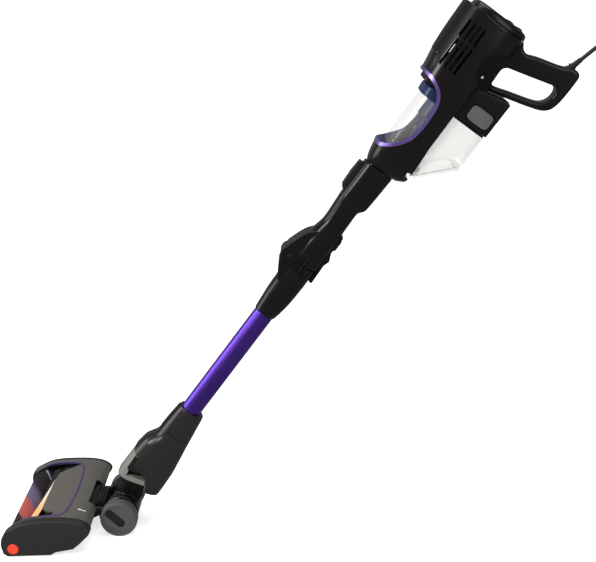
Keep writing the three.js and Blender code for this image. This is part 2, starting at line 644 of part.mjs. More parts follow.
const ribY = [-6, 7.5]; // the two fingers at each side of the fold
const ribHalf = 1.6;

/** A pocket just larger than a button, deep enough for it to be pressed along y. */
function buttonPocket(outline, half, travel) {
  const rear = Math.max(...outline.map(([y]) => y));
  const zs = outline.map(([, z]) => z);
  return box([-half - gap, half + gap], [-60, rear + travel + gap], [Math.min(...zs) - gap, Math.max(...zs) + gap]);
}

/** The recess with two standing ribs on each side of the fold. */
function fingerRecess(zs, half) {
  const recess = box([half, everywhere], [-19, 15], zs);
  const ribs = ribY.map((y) => box([half - 1, 26.6], [y - ribHalf, y + ribHalf], [zs[0] - 1, zs[1] + 1]));
  return bothSides(cut(recess, ...ribs));
}

function upperWandShell() {
  const hood = slab(hoodUpper, [-knuckleOuter, knuckleOuter], { bevel: 3 });
  const knuckles = bothSides(crossbar([knuckleHalf + gap, knuckleOuter], flexPin, knuckleRadius, 14));
  const spigot = rod([0, 0, upperShellTop - 2], [0, 0, upperShellTop + spigotLength], spigotRadius, 16);
  const room = loft([{ z: 560, front: -10.5, rear: 24.4, half: 21, power: 3 },
    { z: 662, front: -10.5, rear: 24.4, half: 21, power: 3 }]);
  const airway = rod([0, 4, 655], [0, 0, 700], 16, 14).add(rod([0, 0, 698], [0, 0, 900], 16, 14));
  const middle = crossbar([-knuckleHalf - gap, knuckleHalf + gap], flexPin, knuckleRadius + 2 * gap, 14);
  const catchBlock = slab(rearCatch, [-13, 13], { bevel: 1.5 });
  const buttonRoom = box([-8 - gap, 8 + gap], [22.7, 60], flexButtonZ.map((z, i) => z + (i ? gap : -gap)));
  return piece('upper_wand_shell', cut(join(cut(loft(upperRings), fingerRecess([598, 613], 25)), hood, spigot, catchBlock,
    knuckles), room, airway, middle, crossbar([-40, 40], flexPin, flexPinRadius + turnFit, 12), buttonRoom,
    buttonPocket(releaseOutline, releaseHalf, pressTravel), outsideLower()), gloss);
}

/** What the upper shell leaves free for the lower one's hood to turn in. */
const outsideLower = () => box([-everywhere, everywhere], [-everywhere, 28.2], [300, flexZ + gap])
  .subtract(crossbar([-knuckleOuter - 1, knuckleOuter + 1], flexPin, knuckleRadius + 0.01, 14));

function lowerWandShell() {
  const hood = slab(hoodLower, [-knuckleOuter, knuckleOuter], { bevel: 3 });
  const middle = crossbar([-knuckleHalf, knuckleHalf], flexPin, knuckleRadius, 14);
  const outer = bothSides(crossbar([knuckleHalf, knuckleOuter + 4], flexPin, knuckleRadius + 2 * gap, 14));
  const room = loft([{ z: 556, front: -10.5, rear: 24.4, half: 21, power: 3 },
    { z: 640, front: -10.5, rear: 24.4, half: 21, power: 3 }]);
  const socket = rod([0, 0, 400], [0, 0, tubeTop + gap], tubeRadius + tubeFit, 20);
  const airway = rod([0, 0, tubeTop - 5], [0, 4, 562], 16, 14);
  const above = box([-everywhere, everywhere], [-everywhere, everywhere], [flexZ - gap, 900])
    .subtract(crossbar([-knuckleHalf, knuckleHalf], flexPin, knuckleRadius + 0.01, 14));
  return piece('lower_wand_shell', cut(join(cut(loft(lowerRings), fingerRecess([584, 602], 25)), hood, middle),
    room, socket, airway, outer, above, crossbar([-40, 40], flexPin, flexPinRadius + turnFit, 12)), gloss);
}

/** Corrugated hose that carries the air past the fold. */
function flexHose() {
  const [low, high] = hoseSpan;
  const waves = 5;
  const pitch = (high - low) / waves;
  const profile = [[hoseRadius - 3.4, low], [hoseRadius - 2, low]];
  for (let i = 0; i < waves; i += 1) {
    profile.push([hoseRadius, low + (i + 0.35) * pitch], [hoseRadius, low + (i + 0.65) * pitch],
      [hoseRadius - 2, low + (i + 1) * pitch]);
  }
  profile.push([hoseRadius - 3.4, high], [hoseRadius - 3.4, low]);
  return piece('flex_hose', turned(profile, hoseAt, 10), rubber);
}

const hingePin = () => piece('hinge_pin', crossbar([-knuckleOuter, knuckleOuter], flexPin, flexPinRadius, 10), steel);

const wandRelease = () => piece('wand_release_button',
  slab(releaseOutline, [-releaseHalf, releaseHalf], { bevel: 1.5 }), matt);

function flexRelease() {
  const [z0, z1] = flexButtonZ;
  return piece('flex_release_button', slab([[25, z0], [32.5, z0], [34, z0 + 4], [34, z1 - 4], [32.5, z1], [25, z1]],
    [-8, 8], { bevel: 1 }), matt);
}

function wandTube() {
  const profile = [[tubeRadius - tubeWall, tubeBottom], [tubeRadius, tubeBottom], [tubeRadius, tubeTop],
    [tubeRadius - tubeWall, tubeTop], [tubeRadius - tubeWall, tubeBottom]];
  return piece('wand_tube', turned(profile, [0, 0], 20), purple);
}

// ---------------------------------------------------------------- neck

const neckRings = [
  { z: 49, front: -40, rear: 43, half: 26, power: 3 },
  { z: 62, front: -44, rear: 47, half: 32, power: 3 },
  { z: 107, front: -43.5, rear: 45.5, half: 34, power: 3 },
  { z: 144, front: -40, rear: 41, half: 31.5, power: 2.8 },
  { z: 174, front: -26.5, rear: 36.5, half: 28, power: 2.6 },
  { z: 200, front: -25.5, rear: 33, half: 26, power: 2.6 },
  { z: neckTop, front: -22.8, rear: 27.5, half: 23.5, power: 2.4 },
];
const axleAt = [axleOffset, 0];
const swivelTilt = (16.5 * Math.PI) / 180; // the swivel leans this far forward of the wand
const swivelWay = [-Math.sin(swivelTilt), Math.cos(swivelTilt)];
const forkFace = 66; // from the axle along the swivel to the fork's lower face
const pipeRadius = 24.5;
const journalRadius = 20.5; // the part of the pipe that turns in the fork
const collarRadius = 22.8;
const collarSpan = [86, 91]; // along the swivel
const pipeTop = 97;
const skirtSweep = 36; // what the elbow's skirt needs round the swivel
const barrelRadius = 32.5;
const barrelHalf = 36.4;

/** A point on the swivel's axis, and so far to its rear. */
const onSwivel = (along, rear = 0) => [axleAt[0] + along * swivelWay[0] + rear * swivelWay[1],
  axleAt[1] + along * swivelWay[1] - rear * swivelWay[0]];
const swivelRod = (from, to, radius, sides = 16) => rod([0, ...onSwivel(from)], [0, ...onSwivel(to)], radius, sides);

const barTop = 76; // along the swivel to the top of the bracket's crossbar
const lipFoot = 83; // and to the foot of the shell over the slot between them
const forkLine = [[-70, 118], [-31, 112], [-30, 88], onSwivel(barTop, -12), onSwivel(barTop, 24), onSwivel(forkFace, 25),
  onSwivel(forkFace, -70)];
const shellCut = [[-70, 118.4], [-30.7, 112.4], [-29.6, 88], onSwivel(lipFoot, -8), onSwivel(lipFoot, 17),
  onSwivel(barTop + gap, 25.2), [22, 57], [60, 64], [60, 20], [-70, 20]];
const spineZ = [119, 178];
const nozzleButtonZ = [181, 237];
const spineHalf = 11;
const nozzleButtonHalf = 8.5;

/** Room for the pipe's journal and its collar. */
const journalRoom = () => swivelRod(forkFace - 12, pipeTop + 3, journalRadius + turnFit, 18)
  .add(swivelRod(collarSpan[0] - gap, collarSpan[1] + gap, collarRadius + turnFit, 18));

function neckShell() {
  const socket = rod([0, 0, tubeBottom - gap], [0, 0, 400], tubeRadius + tubeFit, 20);
  const airway = join(rod([0, ...onSwivel(pipeTop - 6)], [0, -6, 150], 17, 14), rod([0, -6, 148], [0, 0, tubeBottom + 2], 17, 14));
  const channel = cut(box([-spineHalf - gap, spineHalf + gap], [-80, 0], [spineZ[0] - gap, spineZ[1] + gap]),
    loft(inset(neckRings, 4 + gap)));
  const button = cut(box([-nozzleButtonHalf - gap, nozzleButtonHalf + gap], [-80, 0],
    [nozzleButtonZ[0] - gap, nozzleButtonZ[1] + gap]), loft(inset(neckRings, 3.4)));
  return piece('neck_shell', cut(loft(neckRings), slab(shellCut, [-everywhere, everywhere]), socket, airway, journalRoom(),
    swivelRod(30, forkFace, skirtSweep, 20), channel, button), satin);
}

function swivelFork() {
  const body = loft(inset(neckRings, 0.4)).intersect(slab(forkLine, [-everywhere, everywhere]));
  return piece('swivel_fork', cut(body, journalRoom()), lightGrey);
}

function neckSpine() {
  const strip = box([-spineHalf, spineHalf], [-80, 0], spineZ);
  const skin = cut(loft(inset(neckRings, -1.2)), loft(inset(neckRings, 4)));
  return piece('neck_spine', skin.intersect(strip), satin);
}

function nozzleRelease() {
  const pad = box([-nozzleButtonHalf, nozzleButtonHalf], [-80, 0], nozzleButtonZ);
  const skin = cut(loft(inset(neckRings, -2)), loft(inset(neckRings, 0.6)));
  return piece('nozzle_release_button', skin.intersect(pad), matt);
}

/** The barrel that turns on the rear axle, with the pipe that the neck swivels on. */
function pivotElbow() {
  const barrel = turnedAcross([[0, -barrelHalf], [barrelRadius - 3, -barrelHalf],
    [barrelRadius, -barrelHalf + 3], [barrelRadius, barrelHalf - 3], [barrelRadius - 3, barrelHalf],
    [0, barrelHalf], [0, -barrelHalf]], axleAt, 20);
  const pipe = join(swivelRod(10, forkFace - gap, pipeRadius), swivelRod(forkFace - 4, pipeTop, journalRadius),
    swivelRod(...collarSpan, collarRadius));
  const skirt = slab([[24, 22], onSwivel(40, 29), onSwivel(60, 26), onSwivel(60, 4), [-2, 22]], [-22, 22], { bevel: 3 });
  const bore = cut(swivelRod(20, 140, 16.5, 14), crossbar([-60, 60], axleAt, 12, 20));
  const mouth = cut(slab([[-40, -12], [-40, 14], [0, 14], [0, -12]], [-19, 19]),
    crossbar([-60, 60], axleAt, 12, 20), box([-60, 60], [axleAt[0] - 2, 60], [-60, 60]));
  return piece('pivot_elbow', cut(join(barrel, pipe, skirt), bore, mouth,
    crossbar([-60, 60], axleAt, axleRadius + gap, 14)), gloss);
}

// ---------------------------------------------------------------- floor head

const headAxle = [0, wheelRadius];
const sideOutline = [[-198, 2.5], [-205, 8], [-208, 24], [-206, 38], [-198, 51], [-186, 58], [-160, 68.5], [-113, 71.5],
  [-66, 67], [-48, 58], [-42, 47], [-62, 24], [-76, 13], [-108, 8], [-118, 2.5]];
const chassisOutline = [[-152, 6], [-152, 30], [-146, 50], [-132, 61], [-112, 63], [-70, 60], [-50, 50], [-47, 40],
  [-60, 22], [-78, 12], [-92, 6]];
const coverTop = [[-197, 51], [-186, 58], [-160, 68.5], [-136, 71], [-113, 71.5], [-88, 70], [-66, 67], [-50, 59.5],
  [-44, 50]];
const coverSkin = 3;
const glassHalf = headHalf - sideGlass;
const windowHalf = [[60, -86.5], [glassHalf - 8, -93], [glassHalf - 3, -101], [glassHalf, -175], [glassHalf, -240]];
const windowPlan = [...windowHalf.map(([x, y]) => [-x, y]).reverse(), [0, -84], ...windowHalf];
const trimBand = 3;
const bayX = headHalf - beltBay; // the belt bay lies between this and the left side plate
const chassisX = [-(headHalf - plateThickness - gap), bayX - gap];
const rollerX = [-(headHalf - plateThickness - 4.6), bayX - 2]; // ends of both rollers
const motorX = bayX - 13; // end of the brush motor
const armX = [38, 44.6];
const ductHalf = 22;

/** An outline in x and y, run up from z0 to z1. */
function column(outline, [z0, z1]) {
  return solid(new THREE.ExtrudeGeometry(flatShape(outline), { depth: z1 - z0, bevelEnabled: false }).translate(0, 0, z0));
}

/** The skin between the cover's top line and a line below it. */
const coverLayer = (raise, skin, x) => slab([...beside(coverTop, raise), ...beside(coverTop, raise - skin).reverse()], x);

function headBase() {
  const body = slab(chassisOutline, chassisX, { bevel: 0 });
  const brushRoom = crossbar([rollerX[0] - 2, everywhere], brushAxis, brushRadius + bristleHeight + chamberClearance, 16);
  const mouth = box([rollerX[0] - 1, everywhere], [brushAxis[0] - 21, brushAxis[0] + 21], [-5, 16]);
  const softRoom = crossbar([-everywhere, everywhere], softAxis, softRadius + chamberClearance, 20);
  const motorBay = box([motorX - motorLengthAcross - 3, motorX + 5], [-91, -58], [20, 80])
    .add(box([-headHalf + 22, -28], [-91, -58], [20, 80]));
  const stub = crossbar([-everywhere, rollerX[0] + 7], brushAxis, 4 + turnFit, 12);
  const motorShaft = crossbar([motorX, everywhere], motorPulleyAxis, 4, 12);
  const ductBay = box([-ductHalf - gap, ductHalf + gap], [-110, -30], [22, 49]);
  const arm = slab([[-58, 26], [-58, 54], [-40, 50], [-14, 48], [0, 48], [9, 44], [13, 35], [9, 26], [0, 22], [-10, 24],
    [-40, 34]], armX, { bevel: 1 });
  const barrelRoom = crossbar([-37, 37], headAxle, barrelRadius + 2, 20);
  const soleWheels = [-soleWheelX, soleWheelX];
  const wheelRoom = soleWheels.map((x) => box([x - 5, x + 5], [soleAxis[0] - 9, soleAxis[0] + 9], [-2, soleAxis[1] + 9]));
  const wheelPins = soleWheels.map((x) => crossbar([x - 8.3, x + 8.3], soleAxis, 2 + turnFit, 10));
  return piece('head_base', cut(join(cut(body, barrelRoom), bothSides(arm)), brushRoom, mouth, softRoom, stub, motorBay, motorShaft,
    ductBay, crossbar([-60, 60], headAxle, axleRadius + turnFit, 12), ...wheelRoom, ...wheelPins), matt);
}

/** Ribbed duct from the head into the barrel. */
function headDuct() {
  const tube = box([-ductHalf, ductHalf], [-88, -24], [22 + gap, 49 - gap]);
  const ribs = [-44, -39, -34].map((y) => box([-ductHalf - 6, ductHalf + 6], [y, y + 2.4], [18, 56]));
  const inside = box([-ductHalf + 3, ductHalf - 3], [-100, 0], [25.5, 45.5]);
  return piece('head_duct', cut(join(tube, ...ribs), inside, crossbar([-60, 60], headAxle, barrelRadius + 2, 20)), rubber);
}

function sidePlates() {
  const holes = [softAxis, brushAxis];
  const button = crossbar([headHalf - 4, everywhere], rollerButtonAt, rollerButtonRadius + gap, 14);
  const outer = slab(sideOutline, [bayX, headHalf], { bevel: 1.8 });
  const bay = slab([[-196, 10], [-201, 24], [-194, 46], [-158, 62.5], [-113, 65.5], [-68, 61], [-50, 50], [-66, 28],
    [-80, 18], [-108, 13], [-122, 8]], [bayX - 5, headHalf - plateThickness]);
  const left = cut(outer, bay, button, ...holes.map((at) => crossbar([headHalf - 12, headHalf - 4.5], at, 4 + turnFit, 12)));
  const right = cut(slab(sideOutline, [-headHalf, -headHalf + plateThickness], { bevel: 1.8 }),
    ...holes.map((at) => crossbar([-headHalf + 4.5, -headHalf + 12], at, 4 + turnFit, 12)));
  return [piece('side_plate_left', left, matt), piece('side_plate_right', right, matt)];
}

const rollerButton = () => piece('roller_button', turnedAcross([[0, headHalf - 4 + rollerButtonTravel],
  [rollerButtonRadius, headHalf - 4 + rollerButtonTravel], [rollerButtonRadius, headHalf + 0.6], [rollerButtonRadius - 1, headHalf + 1.4],
  [6, headHalf + 1], [0, headHalf + 0.8]], rollerButtonAt, 14), orange);

function headCover() {
  const skin = coverLayer(0, coverSkin, chassisX);
  const window = column(windowPlan, [-50, 200]);
  const neckNotch = box([-armX[1] - gap, armX[1] + gap], [-58, 0], [0, 200]);
  return piece('head_cover', cut(skin, window, neckNotch, crossbar([-60, 60], headAxle, barrelRadius + 2, 20)), headGrey);
}

function coverTrim() {
  const outer = beside(windowPlan, -gap);
  const inner = beside(windowPlan, -trimBand);
  const band = column([...outer, ...inner.reverse()], [-50, 200]);
  const length = box([-everywhere, everywhere], [-172, 0], [0, 200]);
  return piece('cover_trim', coverLayer(0.8, coverSkin + 0.8, chassisX).intersect(band).intersect(length), purple);
}

function innerCover() {
  const plan = beside(windowPlan, -trimBand - gap);
  const length = box([-everywhere, everywhere], [-152, 0], [0, 200]);
  return piece('inner_cover', coverLayer(-1.2, 2.6, chassisX).intersect(column(plan, [-50, 200])).intersect(length), matt);
}

/** Comb that lifts hair off the soft roller, under the panel's front edge. */
function rollerComb() {
  const bar = slab([[-152.5, 50.3], [-152.5, 65], [-140, 65], [-140, 55.1], [-146.1, 50.3]],
    [9 - glassHalf, glassHalf - 9]);
  const teeth = Array.from({ length: 12 }, (_, i) => {
    const x = 13 - glassHalf + i * ((2 * glassHalf - 26) / 11);
    return slab([[-150, 54], [-150, 60], [-155.5, 57]], [x - 1.4, x + 1.4]);
  });
  return piece('roller_comb', cut(join(bar, ...teeth), coverLayer(-1.2 + gap, 9, chassisX)
    .intersect(box([-everywhere, everywhere], [-156, 0], [58, 200]))), tan);
}

function brushMotor() {
  const back = motorX - motorLengthAcross;
  const can = turnedAcross([[0, back], [14, back], [14, motorX - 9], [12, motorX - 5], [6, motorX - 5], [6, motorX],
    [0, motorX]], motorPulleyAxis, 14);
  const cradle = [back + 11, motorX - 19].map((x) => box([x - 4, x + 4], [-90, -59], [20 + gap, motorPulleyAxis[1]]));
  return piece('brush_motor', join(can, ...cradle), steel);
}

/** Drive pulley and its shaft, at the end of the brush motor. */
const motorPulley = () => piece('motor_pulley', turnedAcross([[0, motorX + gap],
  [2.5, motorX + gap], [2.5, bayX + 1], [pulleyRadius + 1, bayX + 1], [pulleyRadius + 1, bayX + 2],
  [pulleyRadius, bayX + 2], [pulleyRadius, bayX + 8], [0, bayX + 8]], motorPulleyAxis, 12), matt);

/** A toothed belt's plain loop round two pulleys. */
function belt(name, [fromAt, fromRadius], [toAt, toRadius], x0) {
  const [dy, dz] = [toAt[0] - fromAt[0], toAt[1] - fromAt[1]];
  const base = Math.atan2(dz, dy);
  const loop = (extra) => {
    const [r0, r1] = [fromRadius + extra, toRadius + extra];
    const spread = Math.acos((r0 - r1) / Math.hypot(dy, dz));
    const arc = ([y, z], radius, from, to) => Array.from({ length: 10 }, (_, i) => {
      const angle = from + ((to - from) * i) / 9;
      return [y + radius * Math.cos(angle), z + radius * Math.sin(angle)];
    });
    return [...arc(fromAt, r0, base + spread, base + 2 * Math.PI - spread), ...arc(toAt, r1, base - spread, base + spread)];
  };
  return piece(name, slab(loop(gap + 1.6), [x0, x0 + beltWidth / 2], { holes: [loop(gap)] }), rubber);
}

const softRollerCore = () => piece('soft_roller_core', turnedAcross([[0, -headHalf + 5.2], [4, -headHalf + 5.2],
  [4, rollerX[0] - 1], [10, rollerX[0] - 1], [10, rollerX[1] + 0.5], [4.5, rollerX[1] + 0.5], [4.5, bayX + 4.4],
  [softPulleyRadius, bayX + 4.4], [softPulleyRadius, bayX + 8], [4, bayX + 8], [4, headHalf - 5.2],
  [0, headHalf - 5.2]], softAxis, 12), matt);

const softRollerSleeve = () => piece('soft_roller_sleeve', turnedAcross([[10 + gap, rollerX[0]],
  [softRadius - 3, rollerX[0]], [softRadius, rollerX[0] + 4], [softRadius, rollerX[1] - 4], [softRadius - 3, rollerX[1]],
  [10 + gap, rollerX[1]], [10 + gap, rollerX[0]]], softAxis, 20), plush);

/** Bristle rows: short fins that stand in a spiral of steps round the roller. */
function bristleRows() {
  const [y, z] = brushAxis;
  const start = rollerX[0] + 12;
  const length = rollerX[1] - 8 - start;
  return Array.from({ length: bristleSteps }, (_, i) => {
    const x = start + (length * i) / bristleSteps;
    const fin = slab([[y - 1.6, z], [y - 1, z + brushRadius + bristleHeight], [y + 1, z + brushRadius + bristleHeight],
      [y + 1.6, z]], [x, x + length / bristleSteps - 3]);
    const turn = new THREE.Matrix4().makeTranslation(0, y, z)
      .multiply(new THREE.Matrix4().makeRotationX(bristleTurn * Math.abs(i - (bristleSteps - 1) / 2)))
      .multiply(new THREE.Matrix4().makeTranslation(0, -y, -z));
    return join(...aroundAcross(moved(fin, turn), brushAxis, 3));
  });
}

function brushRoll() {
  const core = turnedAcross([[0, -headHalf + 5.2], [4, -headHalf + 5.2], [4, rollerX[0]], [brushRadius, rollerX[0]],
    [brushRadius, rollerX[1] - 2], [5, rollerX[1] - 2], [5, bayX + 1.2], [brushPulleyRadius, bayX + 1.2],
    [brushPulleyRadius, bayX + 8], [4, bayX + 8], [4, headHalf - 5.2], [0, headHalf - 5.2]], brushAxis, 14);
  return piece('brush_roll', join(core, ...bristleRows()), matt);
}

/** Rear wheel with a rim, a dished face and a rounded slot across it. */
function rearWheel(name, side) {
  const [x0, x1] = [wheelInner, wheelInner + wheelWidth];
  const body = turnedAcross([[axleRadius + turnFit, x0], [wheelRadius, x0], [wheelRadius, x1 - 3],
    [wheelRadius - 4, x1], [wheelRadius - 7, x1 - 1.6], [axleRadius + turnFit, x1 - 2.4],
    [axleRadius + turnFit, x0]], headAxle, 16);
  const slot = join(rod([x1 - 6, -14, wheelRadius + 12], [x1 + 6, -14, wheelRadius + 12], 8.5, 8),
    rod([x1 - 6, 6, wheelRadius - 8], [x1 + 6, 6, wheelRadius - 8], 8.5, 8),
    slab([[-20, wheelRadius + 6], [-8, wheelRadius + 18], [12, wheelRadius - 2], [0, wheelRadius - 14]], [x1 - 6, x1 + 6]));
  const axle = crossbar([x0 - 10, x1 + 10], headAxle, axleRadius + 2.6, 12);
  const wheel = cut(body, cut(slot, axle));
  return piece(name, side > 0 ? wheel : mirrored(wheel), wheelGrey);
}

const rearAxle = () => piece('rear_axle', crossbar([-wheelInner - wheelWidth + 3, wheelInner + wheelWidth - 3], headAxle,
  axleRadius, 14), steel);

const soleWheel = (name, x) => piece(name, turnedAcross([[0, x - 7.6], [2, x - 7.6], [2, x - 4.6], [6, x - 4.6], [7, x - 3.6],
  [7, x + 3.6], [6, x + 4.6], [2, x + 4.6], [2, x + 7.6], [0, x + 7.6]], soleAxis, 10), rubber);

const soleStrip = () => piece('sole_strip', box([5 - glassHalf, glassHalf - 5], [-96, -93], [1, 6 - gap]), rubber);

// ---------------------------------------------------------------- cord

const cordRoute = [[0, 853.2, 851.2], [0, 865, 860.5], [0, 877, 869.9], [0, 887, 874.8], [-0.5, 899.1, 875.4],
  [-1, 910.3, 870.7], [-1.8, 918.4, 861.8], [-2.8, 922.1, 850.2], [-4.5, 922.4, 830], [-8, 922.6, 790], [-16, 923.2, 700],
  [-24, 924.6, 560], [-31, 926.4, 420], [-38, 929, 280], [-43, 931.4, 160], [-45.3, 932.8, 90], [-45.5, 933.6, 52],
  [-44, 934.4, 32], [-39, 935.3, 16], [-32.6, 936.3, 8.3]];

function powerCord() {
  const curve = new THREE.CatmullRomCurve3(cordRoute.map(([x, y, z]) => new THREE.Vector3(x, y, z)), false, 'centripetal');
  const circle = Array.from({ length: 6 }, (_, i) => new THREE.Vector2(
    cordRadius * Math.cos((i * Math.PI) / 3), cordRadius * Math.sin((i * Math.PI) / 3)));
  return piece('power_cord', solid(new THREE.ExtrudeGeometry(new THREE.Shape(circle),
    { steps: 38, extrudePath: curve, bevelEnabled: false })), rubber);
}

function cordCoil() {
  const outer = coilInner + coilRings * 2 * cordRadius;
  const height = coilLayers * 2 * cordRadius;
  return piece('cord_coil', turned([[coilInner, 0], [outer, 0], [outer, height], [coilInner, height], [coilInner, 0]],
    coilMiddle, 24), rubber);
}

/** Plug with two flat blades, lying on the coil. */
function mainsPlug() {
  const z0 = coilLayers * 2 * cordRadius + gap;
  const [x0, y0] = [-17, coilMiddle[1] + 56];
  const [length, width, height] = plugSize;
  const body = slab([[y0 - width / 2, z0], [y0 + width / 2, z0], [y0 + width / 2, z0 + height],
    [y0 - width / 2, z0 + height]], [x0, x0 + length], { bevel: 2 });
  const tail = rod([x0 + 1, y0, z0 + 8], [x0 - 16, y0, z0 + 6], 6, 12, 4);
  const blades = [-6.3, 6.3].map((dy) => box([x0 + 28, x0 + 46], [y0 + dy - 0.8, y0 + dy + 0.8], [z0 + 5, z0 + 11.4]));
  return piece('mains_plug', join(body, tail, ...blades), rubber);
}

/** Tapered strain relief at the rear of the handle, drawn on the wand. */
function strainRelief() {
  return piece('strain_relief', join(rod([0, ...glandFoot], [0, ...glandKnee], glandRadius, 12),
    rod([0, ...beyond(glandFoot, glandKnee, -0.15)], [0, ...glandTip], glandRadius, 12, cordRadius + 1)), rubber);
}

// ---------------------------------------------------------------- assembly

const wand = new THREE.Group();
wand.rotation.x = (-leanAngle * Math.PI) / 180;
wand.add(...bodyHalves(), windowTrim(), filterCover(), topCap(), capButton('power_button', buttonSpans[0]),
  capButton('mode_button', buttonSpans[1]), motorMount(), motorStator(), impeller(), exhaustFilter(), circuitBoard(),
  dustCup(), cupLid(), lidSeal(), cupHousing(), latchButton('latch_button_left', 1), latchButton('latch_button_right', -1),
  cupSeparator(), meshShroud(), foamFilter(), upperWandShell(), wandRelease(), flexRelease(), hingePin(), flexHose(),
  lowerWandShell(), wandTube(), neckShell(), neckSpine(), nozzleRelease(), swivelFork(), pivotElbow(), strainRelief());
const lean = wand.rotation.x;
wand.position.set(0, -axleOffset * Math.cos(lean), wheelRadius - axleOffset * Math.sin(lean));

const head = new THREE.Group();
head.add(headBase(), headDuct(), ...sidePlates(), rollerButton(), headCover(), coverTrim(), innerCover(), rollerComb(),
  brushMotor(), motorPulley(), belt('drive_belt', [motorPulleyAxis, pulleyRadius], [brushAxis, brushPulleyRadius], bayX + 4.4),
  belt('front_belt', [brushAxis, brushPulleyRadius], [softAxis, softPulleyRadius], bayX + 1.2),
  softRollerCore(), softRollerSleeve(), brushRoll(), rearAxle(), rearWheel('rear_wheel_left', 1),
  rearWheel('rear_wheel_right', -1), soleWheel('sole_wheel_left', soleWheelX),
  soleWheel('sole_wheel_right', -soleWheelX), soleStrip());

const cord = new THREE.Group();
cord.add(powerCord(), cordCoil(), mainsPlug());

const vacuum = new THREE.Group();
vacuum.add(wand, head, cord);
vacuum.position.y = -originY;

export default vacuum;
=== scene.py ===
"""Corded stick vacuum cleaner: hand unit with a D handle and a clear dust cup, folding wand, powered floor head.

Sizes on the pieces are in millimetres, in one of two drawing frames. The wand frame stands upright, with x across,
y to the rear and z along the wand, and leans back about its foot. The floor frame has y measured from the axle of
the rear wheels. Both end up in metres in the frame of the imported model.
"""
import json
import math

import bmesh
import bpy
import numpy as np
from bpy.props import FloatProperty, FloatVectorProperty, PointerProperty
from mathutils import Matrix, Vector


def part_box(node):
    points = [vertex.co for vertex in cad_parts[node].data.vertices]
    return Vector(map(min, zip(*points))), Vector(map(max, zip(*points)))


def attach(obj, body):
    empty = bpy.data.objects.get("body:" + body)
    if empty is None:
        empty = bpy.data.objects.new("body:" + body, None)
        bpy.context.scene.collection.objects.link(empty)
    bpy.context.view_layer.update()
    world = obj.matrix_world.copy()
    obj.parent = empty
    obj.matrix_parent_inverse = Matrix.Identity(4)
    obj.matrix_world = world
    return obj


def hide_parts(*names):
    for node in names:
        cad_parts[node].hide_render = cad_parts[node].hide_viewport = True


bl_info = {
    "name": "Stick vacuum looks",
    "version": (1, 0, 0),
    "blender": (4, 5, 0),
    "location": "View3D > Sidebar > Vacuum",
    "description": "Dresses the packed stick vacuum with moulded, clear, metallic and plush pieces",
    "category": "Object",
}

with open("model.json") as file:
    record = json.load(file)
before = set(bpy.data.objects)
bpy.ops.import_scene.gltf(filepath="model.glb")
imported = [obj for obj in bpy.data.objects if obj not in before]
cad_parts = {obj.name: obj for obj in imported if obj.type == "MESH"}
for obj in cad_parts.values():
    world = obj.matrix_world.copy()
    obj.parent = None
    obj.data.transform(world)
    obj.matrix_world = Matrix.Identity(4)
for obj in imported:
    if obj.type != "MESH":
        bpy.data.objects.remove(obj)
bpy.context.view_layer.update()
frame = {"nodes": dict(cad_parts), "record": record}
BODY_OF = {node: body for body, nodes in frame["record"]["behaviour"]["bodies"].items() for node in nodes}

# ---------------------------------------------------------------- drawing frames

LEAN = math.radians(38.17)
AXLE_OFFSET = 5.8
AXLE = (np.array(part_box("rear_axle")[0]) + np.array(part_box("rear_axle")[1])) / 2
WHEEL_RADIUS = 1000 * AXLE[2]
FLOOR = Matrix.Translation((0, AXLE[1], 0)) @ Matrix.Scale(0.001, 4)
WAND = (Matrix.Translation((0, AXLE[1] - AXLE_OFFSET * math.cos(LEAN) / 1000,
                            AXLE[2] + AXLE_OFFSET * math.sin(LEAN) / 1000))
        @ Matrix.Rotation(-LEAN, 4, "X") @ Matrix.Scale(0.001, 4))
FAR = 400.0  # a cutting box that reaches past the part
GAP = 0.3
SOCKET_RADIUS, AIRWAY_RADIUS = 19.25, 16  # where one part of the wand plugs into the next, and the air's way through

# ---------------------------------------------------------------- curves and outlines


def spline(points, count, closed=False):
    """Points along a centripetal Catmull-Rom curve.

    Between P1 and P2 the point is the blend of three straight-line interpolations on knots whose spacing is the
    square root of the distance between neighbours, so the curve passes through every given point without loops.
    """
    p = np.asarray(points, float)
    p = np.vstack([p[-1], p, p[0], p[1]]) if closed else np.vstack([2 * p[0] - p[1], p, 2 * p[-1] - p[-2]])
    knots = np.concatenate([[0], np.cumsum(np.sqrt(np.linalg.norm(np.diff(p, axis=0), axis=1)))])
    t = np.linspace(knots[1], knots[-2], count, endpoint=not closed)
    i = np.clip(np.searchsorted(knots, t, side="right") - 1, 1, len(p) - 3)

    def mix(a, b, ta, tb):
        weight = ((t - ta) / (tb - ta))[:, None]
        return a + (b - a) * weight

    k = [knots[i - 1], knots[i], knots[i + 1], knots[i + 2]]
    q = [p[i - 1], p[i], p[i + 1], p[i + 2]]
    a = [mix(q[n], q[n + 1], k[n], k[n + 1]) for n in range(3)]
    b = [mix(a[n], a[n + 1], k[n], k[n + 2]) for n in range(2)]
    return mix(b[0], b[1], k[1], k[2])


def beside(points, distance):
    """A line moved sideways, to its left as it runs: each point moves along the normal of its neighbours' chord."""
    p = np.asarray(points, float)
    chord = np.vstack([p[1] - p[0], p[2:] - p[:-2], p[-1] - p[-2]])
    chord /= np.linalg.norm(chord, axis=1)[:, None]
    return p + distance * np.column_stack([-chord[:, 1], chord[:, 0]])


def beyond(start, end, times):
    """The point that lies beyond the second of two points by so many times their distance."""
    return (end[0] + (end[0] - start[0]) * times, end[1] + (end[1] - start[1]) * times)


def arc(centre, radius, start, end, count=12):
    """Points of a circle's arc, centre + radius (cos a, sin a), for angles in degrees."""
    a = np.radians(np.linspace(start, end, count))
    return np.column_stack([centre[0] + radius * np.cos(a), centre[1] + radius * np.sin(a)])


